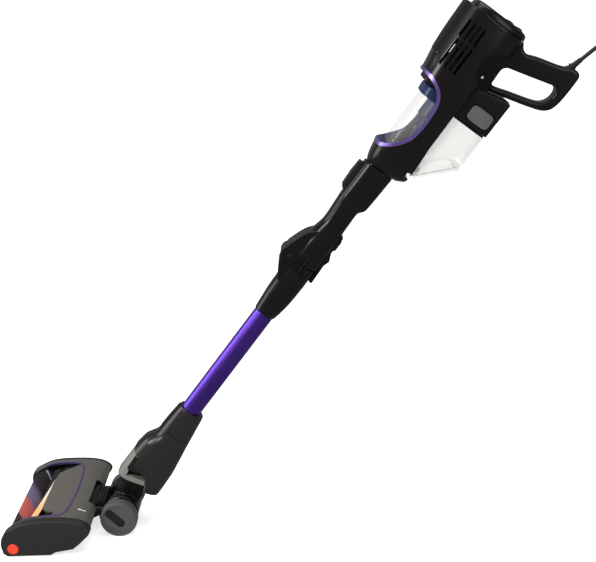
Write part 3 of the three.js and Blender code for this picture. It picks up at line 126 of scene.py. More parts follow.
def angles(count):
    """Evenly spaced angles once round."""
    return np.linspace(0, 2 * np.pi, count, endpoint=False)


def signed(values, power):
    """Values raised to a power with their sign kept. On a sine or cosine, a power under 1 squares off the round."""
    return np.sign(values) * np.abs(values) ** power


# ---------------------------------------------------------------- solids


def solid(points, faces):
    """A closed mesh from points and faces, turned so that its faces point outwards."""
    mesh = bpy.data.meshes.new("solid")
    mesh.from_pydata(np.asarray(points, float).tolist(), [], faces)
    shape = bmesh.new()
    shape.from_mesh(mesh)
    if shape.calc_volume(signed=True) < 0:
        bmesh.ops.reverse_faces(shape, faces=shape.faces)
    shape.to_mesh(mesh)
    shape.free()
    return mesh


def skin(grid, ring=False):
    """A solid over a grid of points, rows along it and columns round it.

    Columns always close on themselves. The rows close on themselves too if ring is true, and otherwise the first
    and last rows are closed by a flat face each.
    """
    rows, columns = grid.shape[:2]
    r, c = np.meshgrid(np.arange(rows if ring else rows - 1), np.arange(columns), indexing="ij")
    up, over = (r + 1) % rows, (c + 1) % columns
    quads = np.stack([r * columns + c, r * columns + over, up * columns + over, up * columns + c], -1).reshape(-1, 4)
    faces = quads.tolist()
    if not ring:
        faces += [list(range(columns))[::-1], list(range((rows - 1) * columns, rows * columns))]
    return solid(grid.reshape(-1, 3), faces)


def box(x, y, z):
    """A box between two values on each axis: the skin of its two square rows."""
    corners = [[(x[0], y[0]), (x[1], y[0]), (x[1], y[1]), (x[0], y[1])]] * 2
    return skin(np.array([[(a, b, height) for a, b in row] for row, height in zip(corners, z)], float))


def slab(outline, x, bevel=0, segments=3):
    """An outline in y and z run across the machine from x[0] to x[1], its side edges rounded by a bevel."""
    p = np.asarray(outline, float)
    grid = np.stack([np.column_stack([np.full(len(p), value), p]) for value in x])
    mesh = skin(grid)
    if bevel:
        shape = bmesh.new()
        shape.from_mesh(mesh)
        edges = [e for e in shape.edges if abs(e.verts[0].co.x - e.verts[1].co.x) < 1e-6]
        bmesh.ops.bevel(shape, geom=edges, offset=bevel, segments=segments, profile=0.5, affect="EDGES")
        shape.to_mesh(mesh)
        shape.free()
    return mesh


def column(outline, z):
    """An outline in x and y run up from z[0] to z[1]."""
    p = np.asarray(outline, float)
    return skin(np.stack([np.column_stack([p, np.full(len(p), value)]) for value in z]))


def tube(path, radius, sides=48):
    """A round bar along a path: at each point, a circle of that radius square to the path's direction.

    The circle's first axis is carried along by taking out of it what lies in each new direction.
    """
    p = np.asarray(path, float)
    r = np.broadcast_to(np.asarray(radius, float), (len(p),))
    way = np.gradient(p, axis=0)
    way /= np.linalg.norm(way, axis=1)[:, None]
    side = np.cross(way[0], (0, 0, 1) if abs(way[0][2]) < 0.9 else (1, 0, 0))
    sides_at = []
    for step in way:
        side = side - step * side.dot(step)
        side /= np.linalg.norm(side)
        sides_at.append(side)
    first = np.array(sides_at)
    second = np.cross(way, first)
    a = angles(sides)
    grid = (p[:, None] + r[:, None, None] * (np.cos(a)[None, :, None] * first[:, None]
                                             + np.sin(a)[None, :, None] * second[:, None]))
    return skin(grid)


def rod(start, end, radius, sides=48):
    """A round bar between two points."""
    return tube([start, end], radius, sides)


def crossbar(x, at, radius, sides=48):
    """A round bar across the machine at [y, z]."""
    return rod((x[0], *at), (x[1], *at), radius, sides)


def turned(profile, at=(0, 0), sides=72, across=False):
    """A profile of (radius, height) points turned about an axis: (r cos a, r sin a, h).

    A profile that starts and ends on the axis is closed by two flat faces, and any other closes on itself. The axis
    stands upright through [x, y], or lies across the machine at [y, z].
    """
    p = np.asarray(profile, float)
    open_ring = p[0, 0] == 0
    p = p[p[:, 0] > 0] if open_ring else p[:-1] if np.allclose(p[0], p[-1]) else p
    a = angles(sides)
    c = p[:, :1] * np.cos(a)
    s = p[:, :1] * np.sin(a)
    h = np.broadcast_to(p[:, 1:], c.shape)
    grid = np.stack([h, at[0] + c, at[1] + s] if across else [at[0] + c, at[1] + s, h], -1)
    return skin(grid, ring=not open_ring)


def section(front, rear, half, power, sides):
    """A superellipse: x = half cos'(a), y = middle + depth sin'(a), where cos' and sin' are raised to 2 / power
    with their sign kept, so that power 2 is an ellipse and more is squarer. Angles are spaced by arc, not evenly."""
    a = np.linspace(0, 2 * np.pi, 721)
    x = half * signed(np.cos(a), 2 / power)
    y = (front + rear) / 2 + (rear - front) / 2 * signed(np.sin(a), 2 / power)
    run = np.concatenate([[0], np.cumsum(np.hypot(np.diff(x), np.diff(y)))])
    want = np.linspace(0, run[-1], sides, endpoint=False)
    return np.column_stack([np.interp(want, run, x), np.interp(want, run, y)])


def loft(rings, sides=96, step=5.0, offset=0.0):
    """A solid skinned over superellipses. Front, rear, half width and power follow the given rings by a smooth
    interpolation along z, a cubic whose slopes are the neighbours' harmonic means, so nothing overshoots.
    An offset draws every ring in."""
    r = np.asarray(rings, float)
    z = r[:, 0]
    count = max(2, int(round((z[-1] - z[0]) / step)) + 1)
    at = np.unique(np.concatenate([np.linspace(z[0], z[-1], count), z]))
    values = []
    for n in range(1, 5):
        v = r[:, n]
        if len(z) == 2:
            values.append(np.interp(at, z, v))
            continue
        slope = np.diff(v) / np.diff(z)
        product, total = slope[1:] * slope[:-1], slope[1:] + slope[:-1]
        inner = np.where(product > 0, 2 * product / np.where(total == 0, 1, total), 0)
        m = np.concatenate([[slope[0]], inner, [slope[-1]]])
        i = np.clip(np.searchsorted(z, at, side="right") - 1, 0, len(z) - 2)
        d = z[i + 1] - z[i]
        t = (at - z[i]) / d
        values.append((2 * t**3 - 3 * t**2 + 1) * v[i] + (t**3 - 2 * t**2 + t) * d * m[i]
                      + (3 * t**2 - 2 * t**3) * v[i + 1] + (t**3 - t**2) * d * m[i + 1])
    front, rear, half, power = values
    grid = np.stack([np.column_stack([section(f + offset, b - offset, h - offset, p, sides), np.full(sides, height)])
                     for f, b, h, p, height in zip(front, rear, half, power, at)])
    return skin(grid)


def worked(mesh, modifiers):
    """The mesh that a few modifiers make of a mesh. Each is (type, settings)."""
    holder = bpy.data.objects.new("holder", mesh)
    bpy.context.scene.collection.objects.link(holder)
    tools = []
    for kind, settings in modifiers:
        modifier = holder.modifiers.new("step", kind)
        for key, value in settings.items():
            if key == "object":
                value = bpy.data.objects.new("tool", value)
                bpy.context.scene.collection.objects.link(value)
                tools.append(value)
            setattr(modifier, key, value)
    bpy.context.view_layer.update()
    result = bpy.data.meshes.new_from_object(holder.evaluated_get(bpy.context.evaluated_depsgraph_get()))
    for extra in [holder, *tools]:
        bpy.data.objects.remove(extra)
    return result


def combined(mesh, operation, tools):
    """A mesh joined to, cut by or met with others in turn."""
    steps = [("BOOLEAN", {"operation": operation, "solver": "MANIFOLD", "object": tool}) for tool in tools]
    result = worked(mesh, steps)
    if not result.polygons:
        raise RuntimeError("a boolean left nothing")
    return result


def join(first, *others):
    """The union of meshes."""
    return combined(first, "UNION", others)


def cut(first, *tools):
    """The first mesh less the others."""
    return combined(first, "DIFFERENCE", tools)


def meet(first, *others):
    """What the meshes have in common."""
    return combined(first, "INTERSECT", others)


def soften(mesh, voxel, rounds):
    """The mesh remade on an even grid and smoothed, so that its edges and joins round off like a moulding's."""
    return worked(mesh, [("REMESH", {"mode": "VOXEL", "voxel_size": voxel}),
                         ("SMOOTH", {"factor": 0.5, "iterations": rounds})])


def mirrored(mesh):
    """The mirror image on the other side of the machine."""
    other = mesh.copy()
    other.transform(Matrix.Scale(-1, 4, (1, 0, 0)))
    other.flip_normals()
    return other


def both_sides(*meshes):
    """Each mesh and its mirror image."""
    return [m for mesh in meshes for m in (mesh, mirrored(mesh))]


def put(name, mesh, place, material, replaces=(), body=None, bevel=0.0, crease=32.0):
    """A finished piece: its mesh placed in metres, shaded smooth up to the crease angle, riding on its body."""
    mesh.transform(place)
    mesh.name = name
    mesh.materials.clear()
    mesh.materials.append(material)
    piece = bpy.data.objects.new(name, mesh)
    bpy.context.scene.collection.objects.link(piece)
    if bevel:
        edge = piece.modifiers.new("edge", "BEVEL")
        edge.width = bevel / 1000
        edge.segments = 2
        edge.limit_method = "ANGLE"
        edge.angle_limit = math.radians(crease)
    mesh.shade_smooth()
    mesh.set_sharp_from_angle(angle=math.radians(crease))
    replaces = [replaces] if isinstance(replaces, str) else list(replaces)
    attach(piece, body or BODY_OF[replaces[0]])
    if replaces:
        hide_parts(*replaces)
    return piece


def dressed(node, material, bevel=0.0):
    """A copy of a CAD node with its loose triangles merged, coplanar ones joined and its edges eased."""
    source = frame["nodes"][node]
    shape = bmesh.new()
    shape.from_mesh(source.data)
    bmesh.ops.remove_doubles(shape, verts=shape.verts, dist=1e-6)
    bmesh.ops.dissolve_limit(shape, angle_limit=math.radians(1), verts=shape.verts, edges=shape.edges)
    mesh = bpy.data.meshes.new(node)
    shape.to_mesh(mesh)
    shape.free()
    return put(node + "_piece", mesh, Matrix.Identity(4), material, node, bevel=bevel, crease=40)


# ---------------------------------------------------------------- finishes


class Wire:
    """A shader value. Python's arithmetic on it adds the Math nodes that work it out."""

    def __init__(self, finish, socket):
        self.finish, self.socket = finish, socket

    def math(self, operation, *values):
        """One Math node, fed with values or wires."""
        return self.finish.node("ShaderNodeMath", {"operation": operation}, dict(enumerate(values)))

    def __add__(self, other):
        return self.math("ADD", self, other)

    def __sub__(self, other):
        return self.math("SUBTRACT", self, other)

    def __rsub__(self, other):
        return self.math("SUBTRACT", other, self)

    def __mul__(self, other):
        return self.math("MULTIPLY", self, other)

    def __truediv__(self, other):
        return self.math("DIVIDE", self, other)

    __radd__ = __add__
    __rmul__ = __mul__

    def between(self, low, high):
        """0 below the first value, 1 above the second, and smooth between them."""
        return self.finish.node("ShaderNodeMapRange", {"interpolation_type": "SMOOTHSTEP"},
                                {"Value": self, "From Min": low, "From Max": high})


class Finish:
    """A material under construction, with its main shader's constant sockets set at once."""

    def __init__(self, name, **constants):
        self.material = bpy.data.materials.new(name)
        self.material.use_nodes = True
        self.tree = self.material.node_tree
        self.shader = self.tree.nodes["Principled BSDF"]
        for key, value in constants.items():
            self.socket(key).default_value = value
        self.place = self.node("ShaderNodeTexCoord", {}, {}, "Object")

    def socket(self, key):
        """The main shader's input of that name, written in lower case with underscores."""
        return self.shader.inputs[key.replace("_", " ").title().replace("Ior", "IOR")]

    def node(self, kind, settings, inputs, output=0):
        """Any node: its type, its settings, then the values or wires of its sockets. Returns one output as a wire."""
        made = self.tree.nodes.new(kind)
        for key, value in settings.items():
            if key == "stops":
                ramp = made.color_ramp.elements
                ramp[0].color, ramp[-1].color = value[0][1], value[-1][1]
                for position, colour in value[1:-1]:
                    ramp.new(position).color = colour
            else:
                setattr(made, key, value)
        for key, value in inputs.items():
            self.plug(made.inputs[key], value)
        return Wire(self, made.outputs[output])

    def plug(self, socket, value):
        """Links a wire to a socket, or sets its value."""
        if isinstance(value, Wire):
            self.tree.links.new(value.socket, socket)
        else:
            socket.default_value = value

    def set(self, **sockets):
        """Feeds wires into the main shader's sockets."""
        for key, value in sockets.items():
            self.plug(self.socket(key), value)
        return self.material

    def axes(self):
        """The three object coordinates as separate wires."""
        split = self.tree.nodes.new("ShaderNodeSeparateXYZ")
        self.plug(split.inputs[0], self.place)
        return [Wire(self, output) for output in split.outputs]

    def mapped(self, turn=(0, 0, 0), scale=(1, 1, 1)):
        """The object coordinates turned and stretched."""
        return self.node("ShaderNodeMapping", {}, {"Vector": self.place, "Rotation": turn, "Scale": scale})

    def noise(self, scale, detail=2.0, vector=None, rough=0.5):
        """Noise around a half, at so many cells to the metre."""
        return self.node("ShaderNodeTexNoise", {}, {"Vector": vector or self.place, "Scale": scale, "Detail": detail,
                                                    "Roughness": rough})

    def blend(self, mask, first, second):
        """The first colour where the mask is 0 and the second where it is 1."""
        return self.node("ShaderNodeMix", {"data_type": "RGBA"}, {0: mask, 6: first, 7: second}, 2)

    def bump(self, height, depth, distance=0.001):
        """A normal tilted by the slope of a height."""
        return self.node("ShaderNodeBump", {}, {"Strength": depth, "Distance": distance, "Height": height})


def rgb(colour):
    """A colour as a shader takes it, from sRGB numbers up to 255."""
    c = np.asarray(colour[:3], float) / 255
    return (*np.where(c <= 0.04045, c / 12.92, ((c + 0.055) / 1.055) ** 2.4).tolist(), 1.0)


def shade(colour, factor):
    """A colour made darker or lighter by a factor."""
    return (*[min(1.0, value * factor) for value in colour[:3]], 1.0)


def moulded(name, colour, roughness, grain=0.05, coat=0.0, specular=0.3):
    """Moulded plastic: fine spark-erosion grain, a slow drift in gloss and faint paler handling marks."""
    f = Finish(name, specular_ior_level=specular, coat_weight=coat, coat_roughness=0.08)
    drift = f.noise(9, 3)
    marks = f.noise(55, 4, rough=0.7).between(0.62, 0.78)
    grit = f.noise(2600, 2)
    return f.set(base_color=f.blend(marks * 0.12 + drift * 0.1, colour, shade(colour, 1.9)),
                 roughness=roughness + (drift - 0.5) * 0.12 + marks * 0.06 + (grit - 0.5) * 0.1,
                 normal=f.bump(grit, grain, 0.0004))


def anodised(name, colour, dark, turn, roughness):
    """Anodised metal: drawn lines run along the piece and shift both its colour and its gloss."""
    f = Finish(name, metallic=0.92, specular_ior_level=0.5)
    lines = f.noise(1, 3, f.mapped(turn, (1500, 1500, 12)))
    cloud = f.noise(14, 2)
    return f.set(base_color=f.blend(lines * 0.7 + cloud * 0.3, dark, colour),
                 roughness=roughness + (lines - 0.5) * 0.14,
                 normal=f.bump(lines, 0.05, 0.0003))


def clear_plastic(name, colour, clear, milky):
    """Clear moulded plastic that turns milky over its rear half, with fine dust. The mask is the distance along the
    wand frame's rear axis: y cos(lean) - z sin(lean), from the frame's origin."""
    f = Finish(name, specular_ior_level=0.6, coat_weight=0.3, coat_roughness=0.05)
    _, y, z = f.axes()
    foot = WAND @ Vector((0, 0, 0))
    frost = ((y - foot.y) * math.cos(LEAN) - (z - foot.z) * math.sin(LEAN)).between(0.038, 0.050)
    dust = f.noise(160, 4, rough=0.75)
    haze = f.noise(22, 2)
    return f.set(base_color=f.blend(frost, shade(colour, 0.45), f.blend(haze, colour, shade(colour, 0.93))),
                 roughness=0.1 + dust * 0.14,
                 alpha=clear + frost * (milky - clear) + dust.between(0.6, 0.85) * 0.04)


def rubbery(name, colour, roughness=0.62):
    """Soft PVC or rubber: matt, with a fine tooth and slightly greyer high spots."""
    f = Finish(name, specular_ior_level=0.35)
    tooth = f.noise(1900, 3)
    dust = f.noise(70, 4, rough=0.7)
    return f.set(base_color=f.blend(dust.between(0.5, 0.75) * 0.35, colour, shade(colour, 2.2)),
                 roughness=roughness + (tooth - 0.5) * 0.15, normal=f.bump(tooth, 0.12, 0.0004))


def bare_metal(name, colour, roughness=0.3):
    """Plated steel with fine scratches and a little haze."""
    f = Finish(name, metallic=1.0)
    scratch = f.noise(1, 4, f.mapped((0.3, 0.2, 0.9), (2400, 60, 700)))
    return f.set(base_color=f.blend(scratch, shade(colour, 0.72), colour),
                 roughness=roughness + (scratch - 0.5) * 0.25, normal=f.bump(scratch, 0.06, 0.0003))


def open_foam(name, colour):
    """Filter foam or felt: open cells of two sizes, each darker towards its middle, where the bump sinks it: painted
    shade in the pores.
    """
    f = Finish(name, specular_ior_level=0.15)
    cells = f.node("ShaderNodeTexVoronoi", {}, {"Vector": f.place, "Scale": 900.0})
    fine = f.noise(2600, 2)
    # Each cell is darker towards its middle, where the bump sinks it: painted shade in the pores.
    return f.set(base_color=f.blend(cells * 1.6, shade(colour, 0.35), colour), roughness=0.9 + fine * 0.1,
                 normal=f.bump(cells + fine * 0.4, 0.9, 0.001))


def comb_strip(name, pale, tan):
    """Moulded strip whose colour goes from pale at one end of the roller to tan at the other."""
    f = Finish(name, specular_ior_level=0.3)
    grit = f.noise(1800, 2)
    return f.set(base_color=f.blend((f.axes()[0] + grit * 0.01).between(-0.025, 0.09), pale, tan),
                 roughness=0.42 + grit * 0.1, normal=f.bump(grit, 0.06, 0.0004))


def plush_stripes(name, colours, axis, pitch=0.306):
    """Cut pile in bands that wind round the roller: the band is picked by x over the pitch plus the angle about the
    roller's axis as a share of a turn, so that it meets itself after each turn."""
    f = Finish(name, specular_ior_level=0.1, sheen_weight=0.04, sheen_roughness=0.5)
    x, y, z = f.axes()
    pile = f.noise(1, 4, f.mapped((0, 0, 0), (2200, 900, 900)))
    tufts = f.noise(420, 3)
    angle = (z - axis[2]).math("ARCTAN2", z - axis[2], y - axis[1])
    along = x / pitch + angle / (2 * math.pi) + 0.25 + (tufts - 0.5) * 0.03
    # The dark red band after the red one is painted shade: it darkens the roller's end next to the side plate.
    stops = [(0.0, "black"), (0.115, "black"), (0.124, "pale"), (0.134, "pale"), (0.143, "black"), (0.36, "black"),
             (0.44, "lilac"), (0.55, "lilac"), (0.58, "red"), (0.76, "red"), (0.78, "shaded_red"), (0.97, "shaded_red"),
             (1.0, "black")]
    band = f.node("ShaderNodeValToRGB", {"stops": [(at, colours[key]) for at, key in stops]},
                  {0: along.math("FRACT", along)})
    return f.set(base_color=f.blend(pile * 0.7, band, (0.02, 0.015, 0.02, 1)), roughness=0.8 + pile * 0.2,
                 normal=f.bump(pile + tufts * 0.6, 0.8, 0.0015))


# ---------------------------------------------------------------- sizes and colours


def colour_property(name, text, value):
    """A colour on the panel, its default given in sRGB numbers up to 255."""
    return FloatVectorProperty(name=name, description=text, default=rgb(value)[:3], size=3, min=0, max=1,
                               subtype="COLOR")


class VacuumSizes(bpy.types.PropertyGroup):
    """Sizes of the finish that can be changed without changing the machine, in millimetres; the cord's in metres."""
    edge: FloatProperty(name="Edge radius", description="Rounding of a moulded edge", default=0.6, min=0.1, max=1.5)
    trim: FloatProperty(name="Trim width", description="Width of the metallic trim round the window", default=6.2,
                        min=3.0, max=9.0)
    handle: FloatProperty(name="Handle width", description="Width of the handle across the machine", default=34.0,
                          min=28.0, max=34.0)
    cord: FloatProperty(name="Cord diameter", description="Outer diameter of the mains cord", default=0.007, min=0.005,
                        max=0.008, unit="LENGTH", precision=4)


class VacuumColours(bpy.types.PropertyGroup):
    """Colours of the mouldings, metals and cloths."""
    gloss: colour_property("Gloss black", "Body, wand shells and cup housing", (14, 13, 12))
    satin: colour_property("Satin black", "Neck, buttons and floor head sides", (30, 29, 27))
    head: colour_property("Head grey", "Cover of the floor head", (80, 78, 74))
    wheel: colour_property("Wheel grey", "Rear wheels", (68, 67, 68))
    bracket: colour_property("Bracket grey", "Swivel bracket", (106, 104, 100))
    latch: colour_property("Latch grey", "Cup release buttons", (76, 76, 74))
    tube: colour_property("Tube purple", "Anodised wand tube", (120, 78, 216))
    trim: colour_property("Trim purple", "Metallic trims", (164, 142, 214))
    navy: colour_property("Navy", "Parts inside the dust cup", (22, 34, 66))
    clear: colour_property("Clear plastic", "Dust cup and its lid", (236, 236, 233))
    button: colour_property("Roller button", "Release disc of the soft roller", (222, 52, 28))
    comb: colour_property("Comb", "Near end of the comb along the soft roller", (224, 172, 116))
    red: colour_property("Roller red", "Band of the soft roller", (186, 88, 82))
    lilac: colour_property("Roller lilac", "Band of the soft roller", (108, 94, 122))


FINISHES = {}


def finish(key):
    """The finish of that name, made once from the colours on the panel."""
    if key in FINISHES:
        return FINISHES[key]
    c = bpy.context.scene.vacuum_colours
    full = {name: (*getattr(c, name), 1.0) for name in VacuumColours.__annotations__}
    black, dark = rgb((9, 8, 10)), rgb((30, 14, 78))
    made = {
        "gloss": lambda: moulded("gloss_black", full["gloss"], 0.24, 0.03, coat=0.12, specular=0.2),
        "cover": lambda: moulded("cover_black", rgb((16, 16, 15)), 0.4, 0.06, specular=0.12),
        "satin": lambda: moulded("satin_black", full["satin"], 0.3, 0.05, coat=0.15),
        "side": lambda: moulded("side_black", rgb((34, 33, 31)), 0.5, 0.12),
        "head": lambda: moulded("head_grey", full["head"], 0.5, 0.12),
        "inner": lambda: moulded("inner_cover_grey", rgb((84, 81, 76)), 0.42, 0.1),
        "matt": lambda: moulded("matt_black", rgb((22, 22, 21)), 0.6, 0.14),
        "wheel": lambda: moulded("wheel_grey", full["wheel"], 0.55, 0.12),
        "bracket": lambda: moulded("bracket_grey", full["bracket"], 0.42, 0.08),
        "latch": lambda: moulded("latch_grey", full["latch"], 0.5, 0.12),
        "navy": lambda: moulded("navy_plastic", full["navy"], 0.35, 0.05),
        "button": lambda: moulded("button_orange", full["button"], 0.34, 0.04, coat=0.3),
        "comb": lambda: comb_strip("comb_tan", rgb((226, 220, 208)), full["comb"]),
        "board": lambda: moulded("board_green", rgb((30, 90, 60)), 0.5, 0.05),
        "tube": lambda: anodised("tube_purple", full["tube"], dark, (LEAN, 0, 0), 0.3),
        "trim": lambda: anodised("trim_purple", full["trim"], rgb((104, 78, 168)), (0.2, 0.4, 0), 0.34),
        "clear": lambda: clear_plastic("clear_plastic", full["clear"], 0.12, 0.4),
        "rubber": lambda: rubbery("black_rubber", rgb((24, 24, 23))),
        "seal": lambda: rubbery("pale_seal", rgb((196, 196, 194)), 0.5),
        "cord": lambda: rubbery("cord_jacket", rgb((26, 25, 26)), 0.5),
        "steel": lambda: bare_metal("steel", rgb((176, 178, 182))),
        "shroud": lambda: bare_metal("shroud_steel", rgb((84, 82, 96)), 0.42),
        "winding": lambda: bare_metal("motor_steel", rgb((70, 71, 74)), 0.5),
        "foam": lambda: open_foam("filter_foam", rgb((66, 69, 78))),
        "felt": lambda: open_foam("pleated_felt", rgb((60, 60, 62))),
        "felt_black": lambda: open_foam("tie_cloth", rgb((40, 40, 44))),
        "plush": lambda: plush_stripes("roller_pile", {"black": black, "pale": rgb((200, 198, 204)),
                                                       # the dark red here is painted shade for the soft roller's end
                                                       # next to the side plate
                                                       "shaded_red": rgb((46, 24, 27)), "lilac": full["lilac"],
                                                       "red": full["red"]}, FLOOR @ Vector((0, *SOFT_AXIS))),
        "bristle": lambda: moulded("brush_black", rgb((34, 32, 36)), 0.7, 0.3),
        # pale pads: the dash by the head's window, and a painted highlight beside the handle
        "dot": lambda: moulded("pale_mark_and_glint", rgb((232, 232, 236)), 0.4, 0.02),
    }[key]()
    FINISHES[key] = made
    return made


# ---------------------------------------------------------------- forms of the hand unit

BODY_WALL = 2.6
BAY_HALF = 46.4
MOTOR_HALF = 54.0
HOUSING_TOP = 1133.0
CAP_TOP = 1145.0
BAY_TOP = 987.0
BODY_RINGS = [
    (818, -20, 45, 28, 2.6), (824, -22.5, 54, 37, 2.7), (836, -25.5, 71, 44, 3), (852, -28, 80, 48.5, 3.3),
    (880, -31, 90, 52, 3.6),
    (975, -37, 90, 52, 3.6), (1003, -39, 84, 54, 3.2), (1040, -45, 72, 54, 3), (1077, -48, 70, 54, 3),
    (HOUSING_TOP, -50, 70, 51.5, 3)]
CAP_RINGS = [(HOUSING_TOP + GAP, -37, 71, 51.5, 3), (CAP_TOP - 4, -35, 69, 50, 3), (CAP_TOP - 1.2, -32.5, 65, 47, 3),
             (CAP_TOP, -29, 61, 43, 3)]
BAY_LINE = [(55, 790), (52.6, 838), (50.4, 864), (47.5, 900), (46.4, 985), (46, 1027.5), (118, 1044), (240, 1072),
            (240, 790)]
WINDOW = spline([(-48, 1003.5), (-22, 1001), (4, 986.5), (14.5, 969), (18, 944), (18, 916), (13, 892), (-2, 871),
                 (-24, 853), (-48, 848)], 72)
COVER_Z = (1036, HOUSING_TOP - 3)
COVER_Y = -31
SCOOP_AT, SCOOP_RADIUS, SCOOP_FROM = (62, 1064), 34, 21
HANDLE_LINE = [(40, 1030), (43, 1100), (56, 1131), (71, 1135), (77, 1127), (82, 1123), (90, 1121.5), (109, 1128.5),
               (154, 1141.5), (166, 1148), (178, 1149.8), (185, 1145), (187, 1128), (185.5, 1086), (181, 1072),
               (171, 1062.5), (150, 1054.5), (118, 1045.5), (80, 1036)]
HANDLE_LOOP = [(72, 1079), (77, 1084), (87, 1087), (108, 1092.5), (148, 1103.5), (162, 1107), (167, 1105.5),
               (170.5, 1094), (168, 1082), (161, 1073), (150, 1067.5), (106, 1054.5), (79, 1046.5), (72, 1047.5),
               (69.5, 1057)]
VENT_ROWS = ((1025, 1075, -28.9), (1080, 1112, -30.5))  # from, to, and where the first vent begins
VENTS, VENT_PITCH, VENT_WIDTH, VENT_SLANT = 4, 9.7, 4.4, 3
BUTTON_SPANS = ((25.5, 41), (45.5, 58.5))
GLAND_FOOT, GLAND_KNEE, GLAND_TIP, GLAND_RADIUS = (163, 1142), (167, 1148.2), (172, 1168.6), 6.1


def body_skin(offset=0.0):
    """The body's skinned rings, drawn in by an offset or, if it is negative, stood proud."""
    return loft(BODY_RINGS, 120, 4, offset)


def scoop_cut(extra=0):
    """The round hollows behind the motor housing, one on each side, made larger by a wall's thickness if wanted."""
    return both_sides(crossbar((SCOOP_FROM - extra, FAR), SCOOP_AT, SCOOP_RADIUS + extra, 96))


def window_cut():
    """The window's outline run across the machine, open to the front."""
    return slab([*WINDOW, (-90, 848), (-90, 1003.5)], (-FAR, FAR))


def make_hand_body(sizes):
    """Hand unit body: superellipse rings skinned up the machine, a D handle run across it from its side outline,
    the two melted into one moulding, and then the bay, window, vents, scoops and sockets cut out."""
    half = sizes.handle / 2
    grip = cut(slab(spline(HANDLE_LINE, 150, True), (-half, half)), slab(spline(HANDLE_LOOP, 120, True), (-FAR, FAR)))
    grip = soften(grip, 1.5, 22)
    body = soften(join(body_skin(), grip), 1.8, 5)
    inner = [(z, f + BODY_WALL, r - BODY_WALL, h - BODY_WALL, p) for z, f, r, h, p in BODY_RINGS]
    cavity = cut(loft([(996, *inner[6][1:]), *inner[7:9], (CAP_TOP + 20, *inner[9][1:])]), *scoop_cut(BODY_WALL),
                 slab([(42.4, 900), (42.4, 1030), (90, 1041), (90, 900)], (-FAR, FAR)))
    bay = meet(box((-BAY_HALF, BAY_HALF), (-FAR, 20), (856, BAY_TOP)),
               loft([*BODY_RINGS[:5], (997, *BODY_RINGS[5][1:])], 120, 4, 2.2))
    slots = []
    for start, end, first in VENT_ROWS:
        for i in range(VENTS):
            y = first + VENT_PITCH * i
            slots += both_sides(slab([(y, start), (y + VENT_WIDTH, start - VENT_SLANT),
                                      (y + VENT_WIDTH, end - VENT_SLANT), (y, end)], (MOTOR_HALF - 14, FAR)))
    tools = [slab(BAY_LINE, (-FAR, FAR)), box((-BAY_HALF, BAY_HALF), (44, FAR), (836, 1000)), cavity, bay,
             box((-BAY_HALF, BAY_HALF), (19, FAR), (856, BAY_TOP)), box((-38, 38), (-31, 38), (900, 1004)),
             window_cut(), rod((0, 0, 800), (0, 0, 849), SOCKET_RADIUS), rod((0, 0, 840), (0, 6, 870), AIRWAY_RADIUS),
             box((-FAR, FAR), (-FAR, COVER_Y + GAP), (COVER_Z[0] - GAP, COVER_Z[1] + GAP)), *slots, *scoop_cut(),
             box((-FAR, FAR), (-FAR, 74), (HOUSING_TOP + 0.1, 1200)),
             rod((0, *beyond(GLAND_FOOT, GLAND_KNEE, -1.2)), (0, *beyond(GLAND_FOOT, GLAND_KNEE, 2.5)),
                 GLAND_RADIUS + GAP)]
    return put("hand_body", cut(body, *tools), WAND, finish("gloss"), ("body_left", "body_right"), crease=38)


def make_bay_liner():
    """Liner of the bay's floor: a thin box met with the body's skin drawn in by 3 mm."""
    liner = meet(box((-42, 42), (-30, 30), (856.1, 863)), body_skin(3))
    return put("bay_liner", liner, WAND, finish("navy"), body=BODY_OF["body_left"], bevel=0.5)


def make_window_trim(sizes):
    """Window trim: the band beside the window's edge, met with the body's skin stood 0.9 mm proud."""
    band = slab([*beside(WINDOW, -GAP), *beside(WINDOW, -sizes.trim)[::-1]], (-FAR, FAR))
    hollow = [box((-BAY_HALF - GAP, BAY_HALF + GAP), (-34, FAR), (872, BAY_TOP)), body_skin(3.2)]
    return put("window_trim_piece", cut(meet(body_skin(-0.9), band), *hollow), WAND, finish("trim"),
               "window_trim", bevel=0.5)


def make_filter_cover(sizes):
    """Filter cover: the front of the motor housing's own skin, stood 0.6 mm proud, with its edges eased."""
    front = box((-FAR, FAR), (-FAR, COVER_Y), COVER_Z)
    shell = cut(meet(body_skin(-0.6), front), body_skin(BODY_WALL))
    return put("filter_cover_piece", shell, WAND, finish("cover"), "filter_cover", bevel=sizes.edge)


def make_top_cap():
    """Top cap: rings drawn in towards the top, with a groove, two button wells and the seat of the handle's root."""
    wells = [box((-15.3, 15.3), (a - GAP, b + GAP), (CAP_TOP - 7, CAP_TOP + 9)) for a, b in BUTTON_SPANS]
    groove = cut(loft([(CAP_TOP - 1.2, -28, 12, 40, 2.4), (CAP_TOP + 9, -28, 12, 40, 2.4)], 96, 20),
                 loft([(CAP_TOP - 2, -26.6, 10.6, 38.6, 2.4), (CAP_TOP + 10, -26.6, 10.6, 38.6, 2.4)], 96, 20))
    seat = slab([(46, 1100), (46, 1127.6), (71, 1140.6), (90, 1140.6), (90, 1100)], (-17.3, 17.3))
    cap = cut(loft(CAP_RINGS, 120, 3), *wells, groove, box((-FAR, FAR), (14, 15.5), (CAP_TOP - 1, CAP_TOP + 9)), seat)
    return put("top_cap_piece", cap, WAND, finish("gloss"), "top_cap", bevel=0.4)


def make_cap_button(name, span):
    """A rocker on the cap: its side outline has a low crown, sin-shaped from front to rear."""
    t = np.linspace(0, 1, 14)
    y = span[0] + (span[1] - span[0]) * t
    crown = np.column_stack([y, CAP_TOP + 1 + 1.8 * np.sin(np.pi * t) ** 0.5])
    low = CAP_TOP - 7 + 2.8
    return put(name + "_piece", slab([(span[0], low), *crown, (span[1], low)], (-15, 15)), WAND, finish("matt"), name,
               bevel=0.6)


# ---------------------------------------------------------------- forms of the dust cup

